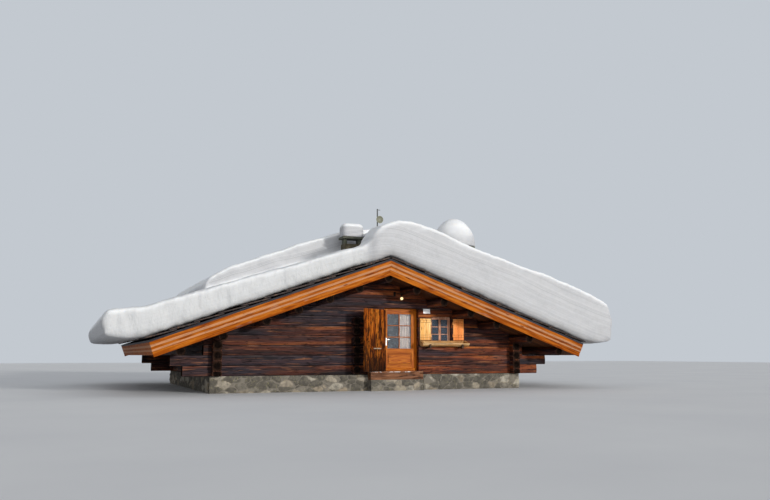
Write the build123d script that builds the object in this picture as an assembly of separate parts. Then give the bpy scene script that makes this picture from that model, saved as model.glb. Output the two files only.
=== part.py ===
from build123d import *
import os
from math import atan, cos, sin

# Alpine log chalet with a snow-laden stone slab roof, in millimetres.
# X runs to the right seen from the front, the front gable faces -Y, Z is up.
# The origin is on the ground under the middle of the house.

# Log block
wall_half_width = 5200
wall_half_depth = 4500
log_thickness = 240
log_bulge = 18
course_height = 305
lower_courses = 7
gable_courses = 4
side_courses = 3
corner_tail = 250
corner_fit = 0.5
seat_gap = 0.3

# Stone plinth and floor
plinth_height = 500
plinth_lip = 60
plinth_thickness = 420
floor_level = 600

# Roof, measured square to the slope from the top of the slabs down
gable_rise = 1555
roof_fall = 0.36
eave_overhang = 2000
verge_overhang = 1250
slab_layer = 100
slab_courses = 11
slab_tilt = 55
deck_layer = 60
rafter_layer = 340
soffit_layer = 30
rafter_width = 120
rafter_bays = 14
barge_thickness = 28
barge_splits = (150, 275)
barge_drop = 55
barge_bevel_height = 60
barge_bevel_depth = 14
eave_board_thickness = 35
slab_drip = 45
mitre_gap = 1

# Purlins under the soffit
purlin_radius = 130
purlin_pitch = 960
inner_purlins = 4
purlin_setback = 180
corbel_end = 150
corbel_step = 360

# Ends of the cross wall's logs, to the left of the door
cross_wall_x = -740
cross_log_width = 220
cross_log_height = 250
cross_log_chamfer = 60
cross_log_reach = 250
cross_log_count = 6

# Doorway
doorway_left = 280
doorway_right = 1500
door_frame_depth = 90
door_frame_width = 60
door_stop_depth = 25
door_stop_lap = 15
door_sill_top = 620
door_leaf_thickness = 55
running_gap = 5
free_edge_gap = 9
door_stile = 118
door_top_rail = 120
door_glass_foot = 1330
door_bar = 22
door_glass_rows = 3
door_glass_columns = 2
glass_thickness = 6
glass_rebate = 12
panel_foot = 800
panel_top = 1180
panel_edge = 40
panel_field = 12
weather_board_height = 70
weather_board_thickness = 28
pin_radius = 6
knuckle_radius = 11
knuckle_height = 90
pin_fit = 0.3
pin_foot_height = 30
pin_foot_gap = 5
door_hinge_inset = 230
door_hinge_arm = 60
door_pin_foot = 28
door_pane_setback = 20

# Door handle, curtain and its rod
handle_level = 1560
handle_plate_width = 44
handle_plate_drop = 130
handle_plate_rise = 110
handle_plate_thickness = 6
handle_neck_radius = 9
handle_reach = 52
lever_length = 124
lever_depth = 16
lever_height = 18
lever_rise = 55
lever_rounding = 6
curtain_gap = 6
curtain_depth = 12
curtain_inset = 10
curtain_lap = 20
curtain_drop = 40
rod_radius = 5
rod_rise = 16
rod_end = 15
rod_bracket_inset = 30
rod_bracket_width = 12
rod_bracket_height = 16

# Door step
step_left = -310
step_foot = 350
step_reach = 350

# Outer plank door, standing open
outer_leaf_thickness = 45
outer_head_drop = 70
outer_leaf_angle = 35
plank_count = 3
plank_gap = 4
batten_height = 110
batten_thickness = 28
batten_hinge_inset = 50
batten_free_inset = 60
outer_pin_gap = 3
outer_pin_foot = 40
outer_arm = 60
outer_arm_lap = 6
outer_face_gap = 12
outer_hinge_inset = 300
pull_inset = 540
pull_length = 400
pull_height = 32
pull_reach = 38
pull_gap = 12
pull_rounding = 8
pull_post_width = 40
pull_post_height = 24
pull_post_lap = 2
pull_level = 1325
peep_size = 55
peep_level = 1585
peep_inset = 95

# Windows and shutters
window_left = 1975
window_right = 2725
window_sill_courses = 3
window_sill_rise = 60
window_head_courses = 6
window_head_rise = 55
window_recess = 120
window_frame_depth = 85
window_frame_width = 45
casement_stile = 40
casement_thickness = 45
casement_bar = 22
casement_panes = 3
casement_setback = 12
casement_bar_depth = 18
shutter_above_sill = 135
shutter_under_window_head = 72
shutter_hinge_inset = 150
shutter_batten_drop = 50
shutter_batten_height = 80
shutter_thickness = 26
shutter_batten = 22
shutter_inset = 30
shutter_edge = 14
shutter_batten_inset = 50
shutter_batten_free_inset = 20
shutter_arm = 40
shutter_arm_thickness = 16

# Hollowed log trough under the window
trough_left = 1530
trough_right = 3240
trough_radius = 150
trough_wall = 36
trough_above_sill = 73
trough_tilt = 19
trough_bracket = 60
trough_bracket_inset = 260

# Wall lamp and blank plate
lamp_x = 794
lamp_level = 2935
lamp_reach = 250
lamp_bulb_radius = 48
lamp_base_x = 640
lamp_base_course = 8
lamp_base_width = 70
lamp_base_height = 140
lamp_base_thickness = 14
lamp_tube_radius = 11
lamp_bend = 40
lamp_shade_radii = (32, 20)
lamp_shade_height = 60
lamp_neck_radius = 17
lamp_neck_height = 16
lamp_shade_lap = 5
plate_x = 1795
plate_width = 250
plate_height = 150
plate_thickness = 6

# Chimneys
left_chimney = (-370, -3150)
left_stack_size = (620, 400)
left_stack_rise = 660
left_smoke_gap = 175
left_pier = (110, 220)
left_slab_size = (760, 500)
left_slab_thickness = 70
left_cap_height = 470
left_cap_corner = 150
left_cap_crown = 170
right_chimney = (3840, -2600)
right_stack_size = (820, 820)
right_stack_rise = 560
right_smoke_gap = 210
right_pier = (160, 820)
right_slab_size = (1150, 1150)
right_slab_thickness = 90
right_cap_height = 1060
right_dome_radius = 790
flue_wall = 120
flue_depth = 600

# Mast with a small dish on the ridge
mast_place = (1950, 250)
mast_radius = 24
mast_rise = 2680
mast_bar = 120
mast_bar_radius = 10
mast_bar_drop = 40
dish_arm = 60
dish_arm_radius = 12
dish_stub_radius = 14
dish_stub_front = 65
dish_stub_back = 25
dish_radius = 150
dish_depth = 45
dish_thickness = 8
dish_drop = 440

# Snow on the roof, as places across it and the snow's depth over the slabs there
snow_proud = 60
snow_overhang = 1200
ridge_snow_edge = -600
niche_edge = 200
niche_front = -4600
deep_snow = [(ridge_snow_edge, 790), (-300, 1050), (230, 1225), (700, 1405), (1300, 1490), (3000, 1475)]
deep_snow_behind = [(ridge_snow_edge, 1375), (300, 1490), (800, 1690), (1400, 1660), (2400, 1540)]
deep_snow_low = (5900, 1715)
deep_snow_at_eave = 1735
deep_snow_past_eave = 300
deep_nose_drop = 90
thin_snow = [(niche_edge, 602), (ridge_snow_edge, 616)]
thin_snow_at_eave = 882
thin_nose_drop = 60
thick_snow_front = -2500
thick_snow_back_off = 2050
thick_snow = [(0, 1054), (200, 1252), (700, 1370), (3100, 1430)]
thick_snow_at_ridge = 1375

eave_half_width = wall_half_width + eave_overhang
verge_half_depth = wall_half_depth + verge_overhang
lower_top = plinth_height + lower_courses * course_height
ridge_height = lower_top + gable_rise
pitch = atan(roof_fall)
upright = 1 / cos(pitch)
deck_depth = slab_layer
rafter_depth = deck_depth + deck_layer
soffit_depth = rafter_depth + rafter_layer
under_depth = soffit_depth + soffit_layer
purlin_depth = under_depth + seat_gap + purlin_radius
slope_length = eave_half_width * upright
window_foot = plinth_height + window_sill_courses * course_height + window_sill_rise
window_head = plinth_height + window_head_courses * course_height + window_head_rise
shutter_foot = window_foot + shutter_above_sill
shutter_head = window_head - shutter_under_window_head
trough_level = window_foot + trough_above_sill
left_stack_top = ridge_height + left_stack_rise
left_slab_foot = left_stack_top + left_smoke_gap
right_stack_top = ridge_height + right_stack_rise
right_slab_foot = right_stack_top + right_smoke_gap
mast_top = ridge_height + mast_rise
wall_y = wall_half_depth - log_thickness / 2
wall_x = wall_half_width - log_thickness / 2
front_face = -wall_half_depth - log_bulge
inner_face = wall_half_depth - log_thickness
hinge_span = window_right - window_left + 2 * shutter_inset
shutter_width = (hinge_span - 2 * shutter_edge - running_gap) / 2 - 1


def block(x0, x1, y0, y1, z0, z1):
    # A box from its low corner to its high corner.
    return Pos((x0 + x1) / 2, (y0 + y1) / 2, (z0 + z1) / 2) * Box(x1 - x0, y1 - y0, z1 - z0)


def prism_along_y(outline, y0, y1):
    # An outline in X and Z, carried along Y.
    face = make_face(Polyline(*outline, close=True))
    return extrude(Plane.XZ.offset(-y1) * face, y1 - y0)


def slope_point(distance, depth):
    # A point on the right slope: so far down from the ridge, so deep under the slabs.
    x = distance * cos(pitch) - depth * sin(pitch)
    z = ridge_height - distance * sin(pitch) - depth * cos(pitch)
    return (x, z)


def ridge_point(depth):
    return (0, ridge_height - depth * upright)


def roof_top(x, depth=0):
    # Height of the roof surface over x.
    return ridge_height - roof_fall * abs(x) - depth * upright


def both_sides(piece):
    return piece, mirror(piece, about=Plane.YZ)


def save(name, *pieces):
    # Loose solids of one kind share a file.
    solids = []
    for piece in pieces:
        solids.extend(piece.solids())
    shape = solids[0] if len(solids) == 1 else Compound(solids)
    export_step(shape, f"parts/{name}.step")


# Log walls

def log_section(heights):
    # Hewn logs lie on each other between the given seams; both faces swell a little.
    edges = []
    half = log_thickness / 2
    for low, high in zip(heights, heights[1:]):
        middle = (low + high) / 2
        for side in (1, -1):
            edges.append(ThreePointArc((side * half, low), (side * (half + log_bulge), middle),
                                       (side * half, high)))
    edges.append(Line((-half, heights[0]), (half, heights[0])))
    edges.append(Line((-half, heights[-1]), (half, heights[-1])))
    return make_face(edges)


def seams(first, count):
    return [plinth_height + (first + number) * course_height for number in range(count + 1)]


def logs_along_x(x0, x1, y, heights):
    plane = Plane(origin=(x0, y, 0), x_dir=(0, 1, 0), z_dir=(1, 0, 0))
    return extrude(plane * log_section(heights), x1 - x0)


def logs_along_y(y0, y1, x, heights):
    plane = Plane(origin=(x, y0, 0), x_dir=(-1, 0, 0), z_dir=(0, 1, 0))
    return extrude(plane * log_section(heights), y1 - y0)


def over_roof():
    # Everything above the underside of the soffit.
    reach = 2 * eave_half_width
    peak = roof_top(0, under_depth)
    low = roof_top(reach, under_depth)
    outline = [(0, peak), (reach, low), (reach, 3 * ridge_height), (-reach, 3 * ridge_height), (-reach, low)]
    return prism_along_y(outline, -2 * verge_half_depth, 2 * verge_half_depth)


def corner_layers(first, count, x_side, y_side):
    # The layers of one corner that belong to the crossing wall.
    reach = log_thickness / 2 + log_bulge + corner_fit
    x, y = x_side * wall_x, y_side * wall_y
    layers = []
    for number in range(count):
        middle = plinth_height + (first + number) * course_height
        layers.append(block(x - reach, x + reach, y - reach, y + reach,
                            middle - course_height / 4, middle + course_height / 4))
    return layers


def purlin_xs():
    # Right-hand purlins: four inside, the wall plate, and the flying one on its corbel.
    inside = [purlin_pitch * number for number in range(1, inner_purlins + 1)]
    corbel_top = seams(0, 2)[-1]
    flying_z = corbel_top + corner_fit + purlin_radius
    flying_x = (ridge_height - purlin_depth * upright - flying_z) / roof_fall
    return inside + [wall_x, flying_x]


def purlin_slots(y_side):
    # Slots in a gable that take the purlins, open at the top.
    slots = []
    radius = purlin_radius + corner_fit
    y0, y1 = sorted((y_side * (wall_half_depth + 2 * log_thickness), y_side * (inner_face - log_thickness)))
    places = [0] + [side * x for x in purlin_xs()[:-1] for side in (1, -1)]
    for x in places:
        z = roof_top(x, purlin_depth)
        slots.append(Pos(x, (y0 + y1) / 2, z) * Rot(90, 0, 0) * Cylinder(radius, y1 - y0))
        slots.append(block(x - radius, x + radius, y0, y1, z, z + 2 * purlin_radius))
    return slots


def gable_logs(x0, x1, y_side, first, count):
    return logs_along_x(x0, x1, y_side * wall_y, seams(first, count))


def seated_on_front(piece):
    # Trims a piece to the swelling faces of the front logs, a hair clear of them.
    logs = logs_along_x(-wall_half_width, wall_half_width, -wall_y - seat_gap,
                        seams(0, lower_courses + gable_courses))
    return piece - logs


def corbels(x_side, y_side):
    # The two lowest logs run out past the corner, stepped, under the flying purlin.
    tip = purlin_xs()[-1] + corbel_end
    start = wall_half_width + corner_tail
    logs = []
    for number, end in enumerate((tip - corbel_step, tip)):
        x0, x1 = sorted((x_side * start, x_side * end))
        logs.append(logs_along_x(x0, x1, y_side * wall_y, seams(number, 1)))
    return logs


def finish_gable(wall, x_sides, y_side):
    # Cross-notched corners, purlin slots and the roof line.
    for x_side in x_sides:
        for corbel in corbels(x_side, y_side):
            wall += corbel
    cutters = purlin_slots(y_side) + [over_roof()]
    for x_side in x_sides:
        cutters += corner_layers(0, lower_courses, x_side, y_side)
    return wall - cutters


def cross_log_levels():
    return [plinth_height + (number + 0.5) * course_height for number in range(cross_log_count)]


def cross_log(level, extra):
    # One squared log with chamfered edges, poking out of the front wall.
    width = cross_log_width + 2 * extra
    height = cross_log_height + 2 * extra
    start = -inner_face
    end = -wall_half_depth - cross_log_reach
    section = chamfer(Rectangle(width, height).vertices(), cross_log_chamfer)
    plane = Plane(origin=(cross_wall_x, start, level), x_dir=(1, 0, 0), z_dir=(0, -1, 0))
    return extrude(plane * section, start - end)


def window_spans():
    # Every window as its left and right edge and the gable it is in.
    return [(window_left, window_right, -1), (window_left, window_right, 1),
            (-window_right, -window_left, 1)]


def window_cut(x0, x1, y_side):
    y0, y1 = sorted((y_side * (wall_half_depth + log_thickness), y_side * (inner_face - log_thickness)))
    return block(x0, x1, y0, y1, window_foot, window_head)


def build_walls():
    tail = wall_half_width + corner_tail
    lower = lower_courses
    left = finish_gable(gable_logs(-tail, doorway_left, -1, 0, lower), (-1,), -1)
    left -= [cross_log(level, seat_gap) for level in cross_log_levels()]
    right = finish_gable(gable_logs(doorway_right, tail, -1, 0, lower), (1,), -1)
    right -= window_cut(window_left, window_right, -1)
    back = finish_gable(gable_logs(-tail, tail, 1, 0, lower), (-1, 1), 1)
    for x0, x1, y_side in window_spans():
        if y_side > 0:
            back -= window_cut(x0, x1, y_side)
    half_span = (ridge_height - under_depth * upright - lower_top) / roof_fall
    save("front_wall_left", left)
    save("front_wall_right", right)
    save("back_wall", back)
    for name, y_side in (("front_gable", -1), ("back_gable", 1)):
        gable = gable_logs(-half_span, half_span, y_side, lower, gable_courses)
        save(name, gable - purlin_slots(y_side) - over_roof())
    save("cross_wall_log_ends", *[cross_log(level, 0) for level in cross_log_levels()])


def build_side_walls():
    # Side logs lie half a course lower than the gable logs, and start on a half log.
    heights = [plinth_height] + [seams(0.5, side_courses)[number] for number in range(side_courses + 1)]
    reach = wall_half_depth + corner_tail
    wall = logs_along_y(-reach, reach, wall_x, heights)
    for y_side in (-1, 1):
        wall -= corner_layers(0.5, lower_courses, 1, y_side)
    plate = Rot(90, 0, 0) * Cylinder(purlin_radius + corner_fit, 2 * verge_half_depth)
    wall -= Pos(wall_x, 0, roof_top(wall_x, purlin_depth)) * plate
    right, left = both_sides(wall)
    save("right_wall", right)
    save("left_wall", left)


# Plinth, floor and step

def build_plinth():
    outer_x = wall_half_width + plinth_lip
    outer_y = wall_half_depth + plinth_lip
    inner_x = outer_x - plinth_thickness
    inner_y = outer_y - plinth_thickness
    front = block(-outer_x, outer_x, -outer_y, -inner_y, 0, plinth_height)
    front += block(step_left, doorway_right, -wall_half_depth - step_reach, -outer_y, 0, step_foot)
    back = block(-outer_x, outer_x, inner_y, outer_y, 0, plinth_height)
    side = block(inner_x, outer_x, -inner_y, inner_y, 0, plinth_height)
    save("plinth_front", front)
    save("plinth_back", back)
    save("plinth_sides", *both_sides(side))


def build_floor():
    x = wall_half_width - log_thickness - log_bulge - corner_fit
    y = inner_face - log_bulge - corner_fit
    save("floor_boards", block(-x, x, -y, y, plinth_height, floor_level))


def build_step():
    outer_y = -wall_half_depth - plinth_lip
    beam = block(step_left, doorway_right, -wall_half_depth - step_reach, outer_y, step_foot, floor_level)
    tread = block(doorway_left + corner_fit, doorway_right - corner_fit, outer_y,
                  -inner_face - door_frame_depth, plinth_height, floor_level)
    save("door_step", beam + tread)


# Front door

def door_leaf_box():
    # Left, right, outer face, inner face, foot and head of the half-glazed leaf.
    left = doorway_left + corner_fit + door_frame_width + free_edge_gap
    right = doorway_right - corner_fit - door_frame_width - running_gap
    outer = -inner_face - door_frame_depth + door_stop_depth + running_gap
    head = lower_top - corner_fit - door_frame_width - running_gap
    return left, right, outer, outer + door_leaf_thickness, door_sill_top + running_gap, head


def door_pin():
    left, right, outer, inner, foot, head = door_leaf_box()
    return right + running_gap / 2, -inner_face + knuckle_radius + 3


def door_glazing():
    left, right, outer, inner, foot, head = door_leaf_box()
    return left + door_stile, right - door_stile, door_glass_foot, head - door_top_rail


def build_door_frame():
    x0, x1 = doorway_left + corner_fit, doorway_right - corner_fit
    y0, y1 = -inner_face - door_frame_depth, -inner_face
    head = lower_top - corner_fit
    frame = block(x0, x1, y0, y1, plinth_height, head)
    clear = door_frame_width
    frame -= block(x0 + clear, x1 - clear, y0 + door_stop_depth, y1, door_sill_top, head - clear)
    lap = clear + door_stop_lap
    frame -= block(x0 + lap, x1 - lap, y0, y1, door_sill_top, head - lap)
    save("door_frame", frame)


def knuckles(pin_x, pin_y, levels, arm):
    # Eyes that turn on the pins, each with an arm box joining it to its leaf.
    eyes = []
    for level in levels:
        eye = Pos(pin_x, pin_y, level) * Cylinder(knuckle_radius, knuckle_height)
        x0, x1, y0, y1 = arm
        eye += block(x0, x1, y0, y1, level - knuckle_height / 2, level + knuckle_height / 2)
        eyes.append(eye - Pos(pin_x, pin_y, level) * Cylinder(pin_radius + pin_fit, 2 * knuckle_height))
    return eyes


def pins(pin_x, pin_y, levels, foot):
    # Each pin stands on a foot block that reaches back to the wood that carries it.
    made = []
    x0, x1, y0, y1 = foot
    for level in levels:
        top = level + knuckle_height / 2
        seat = level - knuckle_height / 2 - pin_foot_gap
        low = seat - pin_foot_height
        pin = Pos(pin_x, pin_y, (top + low) / 2) * Cylinder(pin_radius, top - low)
        pin += block(x0, x1, y0, y1, low, seat)
        made.append(pin)
    return made


def door_hinge_levels():
    left, right, outer, inner, foot, head = door_leaf_box()
    return [foot + door_hinge_inset, (foot + head) / 2, head - door_hinge_inset]


def build_front_door():
    left, right, outer, inner, foot, head = door_leaf_box()
    glass_left, glass_right, glass_foot, glass_head = door_glazing()
    leaf = block(left, right, outer, inner, foot, head)
    leaf -= block(glass_left, glass_right, outer, inner, glass_foot, glass_head)
    front = outer + door_pane_setback
    for column in range(1, door_glass_columns):
        x = glass_left + (glass_right - glass_left) * column / door_glass_columns
        leaf += block(x - door_bar / 2, x + door_bar / 2, outer, front, glass_foot, glass_head)
    for row in range(1, door_glass_rows):
        z = glass_foot + (glass_head - glass_foot) * row / door_glass_rows
        leaf += block(glass_left, glass_right, outer, front, z - door_bar / 2, z + door_bar / 2)
    lap = glass_rebate
    leaf -= block(glass_left - lap, glass_right + lap, front, inner, glass_foot - lap, glass_head + lap)
    recess = block(glass_left, glass_right, outer, outer + panel_field, panel_foot, panel_top)
    field = block(glass_left + panel_edge, glass_right - panel_edge, outer, outer + panel_field,
                  panel_foot + panel_edge, panel_top - panel_edge)
    leaf = leaf - recess + field
    leaf += block(left + door_stop_lap + running_gap, right - door_stop_lap - running_gap,
                  outer - weather_board_thickness, outer, foot, foot + weather_board_height)
    pin_x, pin_y = door_pin()
    arm = (pin_x - door_hinge_arm, pin_x, inner, pin_y)
    for eye in knuckles(pin_x, pin_y, door_hinge_levels(), arm):
        leaf += eye
    save("front_door_leaf", leaf)
    pane = block(glass_left - lap + seat_gap, glass_right + lap - seat_gap, front + seat_gap,
                 front + seat_gap + glass_thickness, glass_foot - lap + seat_gap, glass_head + lap - seat_gap)
    save("front_door_glass", pane)


def build_door_handle():
    # Long plate and lever on each face, at the free edge.
    left, right, outer, inner, foot, head = door_leaf_box()
    x = left + door_stile / 2
    half = handle_plate_width / 2
    lever_z = handle_level + lever_rise
    parts = []
    for face, way in ((outer, -1), (inner, 1)):
        skin = face + way * handle_plate_thickness
        tip = face + way * handle_reach
        y0, y1 = sorted((face, skin))
        plate = block(x - half, x + half, y0, y1, handle_level - handle_plate_drop,
                      handle_level + handle_plate_rise)
        neck = Pos(x, (skin + tip) / 2, lever_z) * Rot(90, 0, 0) * Cylinder(handle_neck_radius, abs(tip - skin))
        y0, y1 = sorted((tip - way * lever_depth, tip))
        start = x - handle_neck_radius
        lever = block(start, start + lever_length, y0, y1, lever_z - lever_height / 2,
                      lever_z + lever_height / 2)
        parts.append(plate + neck + fillet(lever.edges().filter_by(Axis.X), lever_rounding))
    save("front_door_handle", *parts)


def build_curtain():
    # Cloth in front of the right-hand column of panes, on a rod inside the leaf.
    left, right, outer, inner, foot, head = door_leaf_box()
    glass_left, glass_right, glass_foot, glass_head = door_glazing()
    middle = (glass_left + glass_right) / 2
    rod_z = glass_head + rod_rise
    y = inner + curtain_gap + curtain_depth / 2
    cloth = block(middle + curtain_inset, glass_right + curtain_lap, y - curtain_depth / 2,
                  y + curtain_depth / 2, glass_foot - curtain_drop, rod_z - rod_radius - seat_gap)
    ends = (middle - rod_bracket_inset, glass_right + rod_bracket_inset)
    rod = Rot(0, 90, 0) * Cylinder(rod_radius, ends[1] - ends[0] + 2 * rod_end)
    rod = Pos(sum(ends) / 2, y, rod_z) * rod
    for x in ends:
        rod += block(x - rod_bracket_width / 2, x + rod_bracket_width / 2, inner, y,
                     rod_z - rod_bracket_height / 2, rod_z + rod_bracket_height / 2)
    save("door_curtain", cloth)
    save("curtain_rod", rod)


# Outer plank door

def outer_pin():
    return doorway_left, front_face - knuckle_radius - outer_pin_gap


def outer_hinge_levels():
    return [floor_level + outer_hinge_inset, lower_top - outer_hinge_inset]


def outer_leaf_box():
    # The closed leaf, inside the reveal: left, right, outer face, inner face, foot, head.
    pin_x, pin_y = outer_pin()
    gap = running_gap + 1
    outer = pin_y + outer_face_gap
    return (doorway_left + gap, doorway_right - free_edge_gap, outer, outer + outer_leaf_thickness,
            floor_level + 2 * gap, lower_top - outer_head_drop)


def swing_open(piece):
    # From closed to the place where the leaf stands.
    pin_x, pin_y = outer_pin()
    turn = Location((pin_x, pin_y, 0)) * Rot(0, 0, outer_leaf_angle - 180) * Location((-pin_x, -pin_y, 0))
    return turn * piece


def build_outer_door():
    left, right, outer, inner, foot, head = outer_leaf_box()
    width = (right - left - (plank_count - 1) * plank_gap) / plank_count
    planks = []
    for number in range(plank_count):
        x = left + number * (width + plank_gap)
        planks.append(block(x, x + width, outer, inner, foot, head))
    hole = Pos(right - peep_inset, (outer + inner) / 2, peep_level) * Rot(0, 45, 0)
    planks[-1] -= hole * Box(peep_size, 3 * outer_leaf_thickness, peep_size)
    save("outer_door_planks", *[swing_open(plank) for plank in planks])
    pin_x, pin_y = outer_pin()
    arm = (pin_x, left + outer_arm, pin_y - outer_arm_lap, outer)
    battens = []
    for level, eye in zip(outer_hinge_levels(), knuckles(pin_x, pin_y, outer_hinge_levels(), arm)):
        batten = block(left + batten_hinge_inset, right - batten_free_inset, outer - batten_thickness, outer,
                       level - batten_height / 2, level + batten_height / 2)
        battens.append(swing_open(batten + eye))
    save("outer_door_battens", *battens)
    build_outer_pull(left + pull_inset, inner)


def build_outer_pull(middle, face):
    # A level bar on two posts, on the side that shows when the leaf stands open.
    bar = block(middle - pull_length / 2, middle + pull_length / 2, face + pull_gap, face + pull_reach,
                pull_level - pull_height / 2, pull_level + pull_height / 2)
    bar = fillet(bar.edges().filter_by(Axis.X), pull_rounding)
    for x in (middle - pull_length / 3, middle + pull_length / 3):
        bar += block(x - pull_post_width / 2, x + pull_post_width / 2, face, face + pull_gap + pull_post_lap,
                     pull_level - pull_post_height / 2, pull_level + pull_post_height / 2)
    save("outer_door_pull", swing_open(bar))


# Windows and shutters

def outward(y_side, depth):
    # A depth behind the wall face of either gable, as a Y value.
    return y_side * (wall_half_depth - depth)


def build_windows():
    frames, sashes, panes = [], [], []
    z0, z1 = window_foot + corner_fit, window_head - corner_fit
    for left, right, y_side in window_spans():
        x0, x1 = left + corner_fit, right - corner_fit
        ya, yb = sorted((outward(y_side, window_recess), outward(y_side, window_recess + window_frame_depth)))
        w = window_frame_width
        frame = block(x0, x1, ya, yb, z0, z1) - block(x0 + w, x1 - w, ya, yb, z0 + w, z1 - w)
        frames.append(frame)
        start = window_recess + casement_setback
        pocket = start + casement_bar_depth
        sash_y = sorted((outward(y_side, start), outward(y_side, start + casement_thickness)))
        bar_y = sorted((outward(y_side, start), outward(y_side, pocket)))
        pocket_y = sorted((outward(y_side, pocket), outward(y_side, start + casement_thickness)))
        pane_y = sorted((outward(y_side, pocket + seat_gap),
                         outward(y_side, pocket + seat_gap + glass_thickness)))
        inner = (x1 - x0 - 2 * w) / 2
        for number in range(2):
            a = x0 + w + number * inner + seat_gap
            b = a + inner - 2 * seat_gap
            c, d = z0 + w + seat_gap, z1 - w - seat_gap
            s = casement_stile
            sash = block(a, b, *sash_y, c, d) - block(a + s, b - s, *sash_y, c + s, d - s)
            for row in range(1, casement_panes):
                z = c + s + (d - c - 2 * s) * row / casement_panes
                sash += block(a + s, b - s, *bar_y, z - casement_bar / 2, z + casement_bar / 2)
            lap = glass_rebate
            sash -= block(a + s - lap, b - s + lap, *pocket_y, c + s - lap, d - s + lap)
            sashes.append(sash)
            e = lap - seat_gap
            panes.append(block(a + s - e, b - s + e, *pane_y, c + s - e, d - s + e))
    save("window_frames", *frames)
    save("window_casements", *sashes)
    save("window_glass", *panes)


def shutter_pin(x_side):
    # Left and right hinge lines stand outside the window opening.
    x = window_left - shutter_inset if x_side < 0 else window_right + shutter_inset
    return x, front_face - running_gap - shutter_thickness / 2


def shutter_hinge_levels():
    return [shutter_foot + shutter_hinge_inset, shutter_head - shutter_hinge_inset]


def build_shutters():
    # Each shutter stands open, flat on the wall beside the window.
    batten_top = shutter_head - shutter_batten_drop
    for name, x_side in (("left_shutter", -1), ("right_shutter", 1)):
        pin_x, pin_y = shutter_pin(x_side)
        near, far = pin_x + x_side * shutter_edge, pin_x + x_side * (shutter_edge + shutter_width)
        x0, x1 = sorted((near, far))
        face = pin_y - shutter_thickness / 2
        panel = block(x0, x1, face, face + shutter_thickness, shutter_foot, shutter_head)
        x0, x1 = sorted((near + x_side * shutter_batten_inset, far - x_side * shutter_batten_free_inset))
        panel += block(x0, x1, face - shutter_batten, face,
                       batten_top - shutter_batten_height, batten_top)
        x0, x1 = sorted((pin_x, near + x_side * shutter_arm))
        arm = (x0, x1, pin_y - shutter_arm_thickness / 2, pin_y + shutter_arm_thickness / 2)
        for eye in knuckles(pin_x, pin_y, shutter_hinge_levels(), arm):
            panel += eye
        save(name, panel)


def build_pins():
    pin_x, pin_y = door_pin()
    foot = (pin_x - pin_radius, pin_x + door_pin_foot, -inner_face, pin_y + pin_radius)
    made = pins(pin_x, pin_y, door_hinge_levels(), foot)
    pin_x, pin_y = outer_pin()
    foot = (pin_x - outer_pin_foot, pin_x, pin_y - pin_radius, -wall_half_depth)
    for pin in pins(pin_x, pin_y, outer_hinge_levels(), foot):
        made.append(seated_on_front(pin))
    for x_side in (-1, 1):
        pin_x, pin_y = shutter_pin(x_side)
        foot = (pin_x - pin_radius, pin_x + pin_radius, pin_y, -wall_half_depth)
        for pin in pins(pin_x, pin_y, shutter_hinge_levels(), foot):
            made.append(seated_on_front(pin))
    save("hinge_pins", *made)


# Trough, lamp and plate

def build_trough():
    # A half log hollowed along its length, tilted to the front, on two brackets.
    y = front_face - seat_gap - trough_radius
    length = trough_right - trough_left
    middle = (trough_left + trough_right) / 2
    lay = Pos(middle, y, trough_level) * Rot(0, 90, 0)
    log = lay * Cylinder(trough_radius, length)
    upper = Pos(0, 0, trough_radius) * Box(length, 4 * trough_radius, 2 * trough_radius)
    log -= Pos(middle, y, trough_level) * Rot(trough_tilt, 0, 0) * upper
    log -= lay * Cylinder(trough_radius - trough_wall, length - 4 * trough_wall)
    save("flower_trough", log)
    brackets = []
    for x in (trough_left + trough_bracket_inset, trough_right - trough_bracket_inset):
        arm = block(x - trough_bracket / 2, x + trough_bracket / 2, y - trough_radius, -wall_half_depth,
                    trough_level - trough_radius - trough_bracket, trough_level - trough_radius / 2)
        brackets.append(seated_on_front(arm - lay * Cylinder(trough_radius + seat_gap, length)))
    save("trough_brackets", *brackets)


def build_lamp():
    # A bent tube from a plate on the gable, with a small shade and a bare bulb.
    base_z = plinth_height + (lamp_base_course + 0.5) * course_height
    half = lamp_base_width / 2
    base = seated_on_front(block(lamp_base_x - half, lamp_base_x + half, front_face - lamp_base_thickness,
                                 -wall_half_depth, base_z - lamp_base_height / 2,
                                 base_z + lamp_base_height / 2))
    y = -wall_half_depth - lamp_reach
    bulb_top = lamp_level + lamp_bulb_radius
    shade_top = bulb_top - lamp_shade_lap + lamp_shade_height
    route = FilletPolyline((lamp_base_x, front_face - lamp_base_thickness / 2, base_z),
                           (lamp_base_x, y, base_z), (lamp_x, y, base_z),
                           (lamp_x, y, shade_top - lamp_shade_lap), radius=lamp_bend)
    tube = sweep(Plane(route @ 0, z_dir=route % 0) * Circle(lamp_tube_radius), path=route)
    shade = Pos(lamp_x, y, shade_top - lamp_shade_height / 2) * Cone(*lamp_shade_radii, lamp_shade_height)
    save("wall_lamp_arm", base + tube + shade)
    bulb = Pos(lamp_x, y, lamp_level) * Sphere(lamp_bulb_radius)
    bulb += Pos(lamp_x, y, bulb_top - lamp_neck_height / 2) * Cylinder(lamp_neck_radius, lamp_neck_height)
    reach = 2 * lamp_bulb_radius
    bulb &= block(lamp_x - reach, lamp_x + reach, y - reach, y + reach, lamp_level - reach,
                  bulb_top - lamp_shade_lap)
    save("lamp_bulb", bulb)


def build_plate():
    foot = lower_top - course_height / 2
    face = front_face - seat_gap
    save("blank_plate", block(plate_x - plate_width / 2, plate_x + plate_width / 2,
                              face - plate_thickness, face, foot, foot + plate_height))


# Roof

def roof_layer(top, bottom, length, y0, y1):
    # One layer of the right slope, cut plumb at the ridge and square at the eave.
    outline = [ridge_point(top), slope_point(length, top), slope_point(length, bottom), ridge_point(bottom)]
    return prism_along_y(outline, y0, y1)


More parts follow.
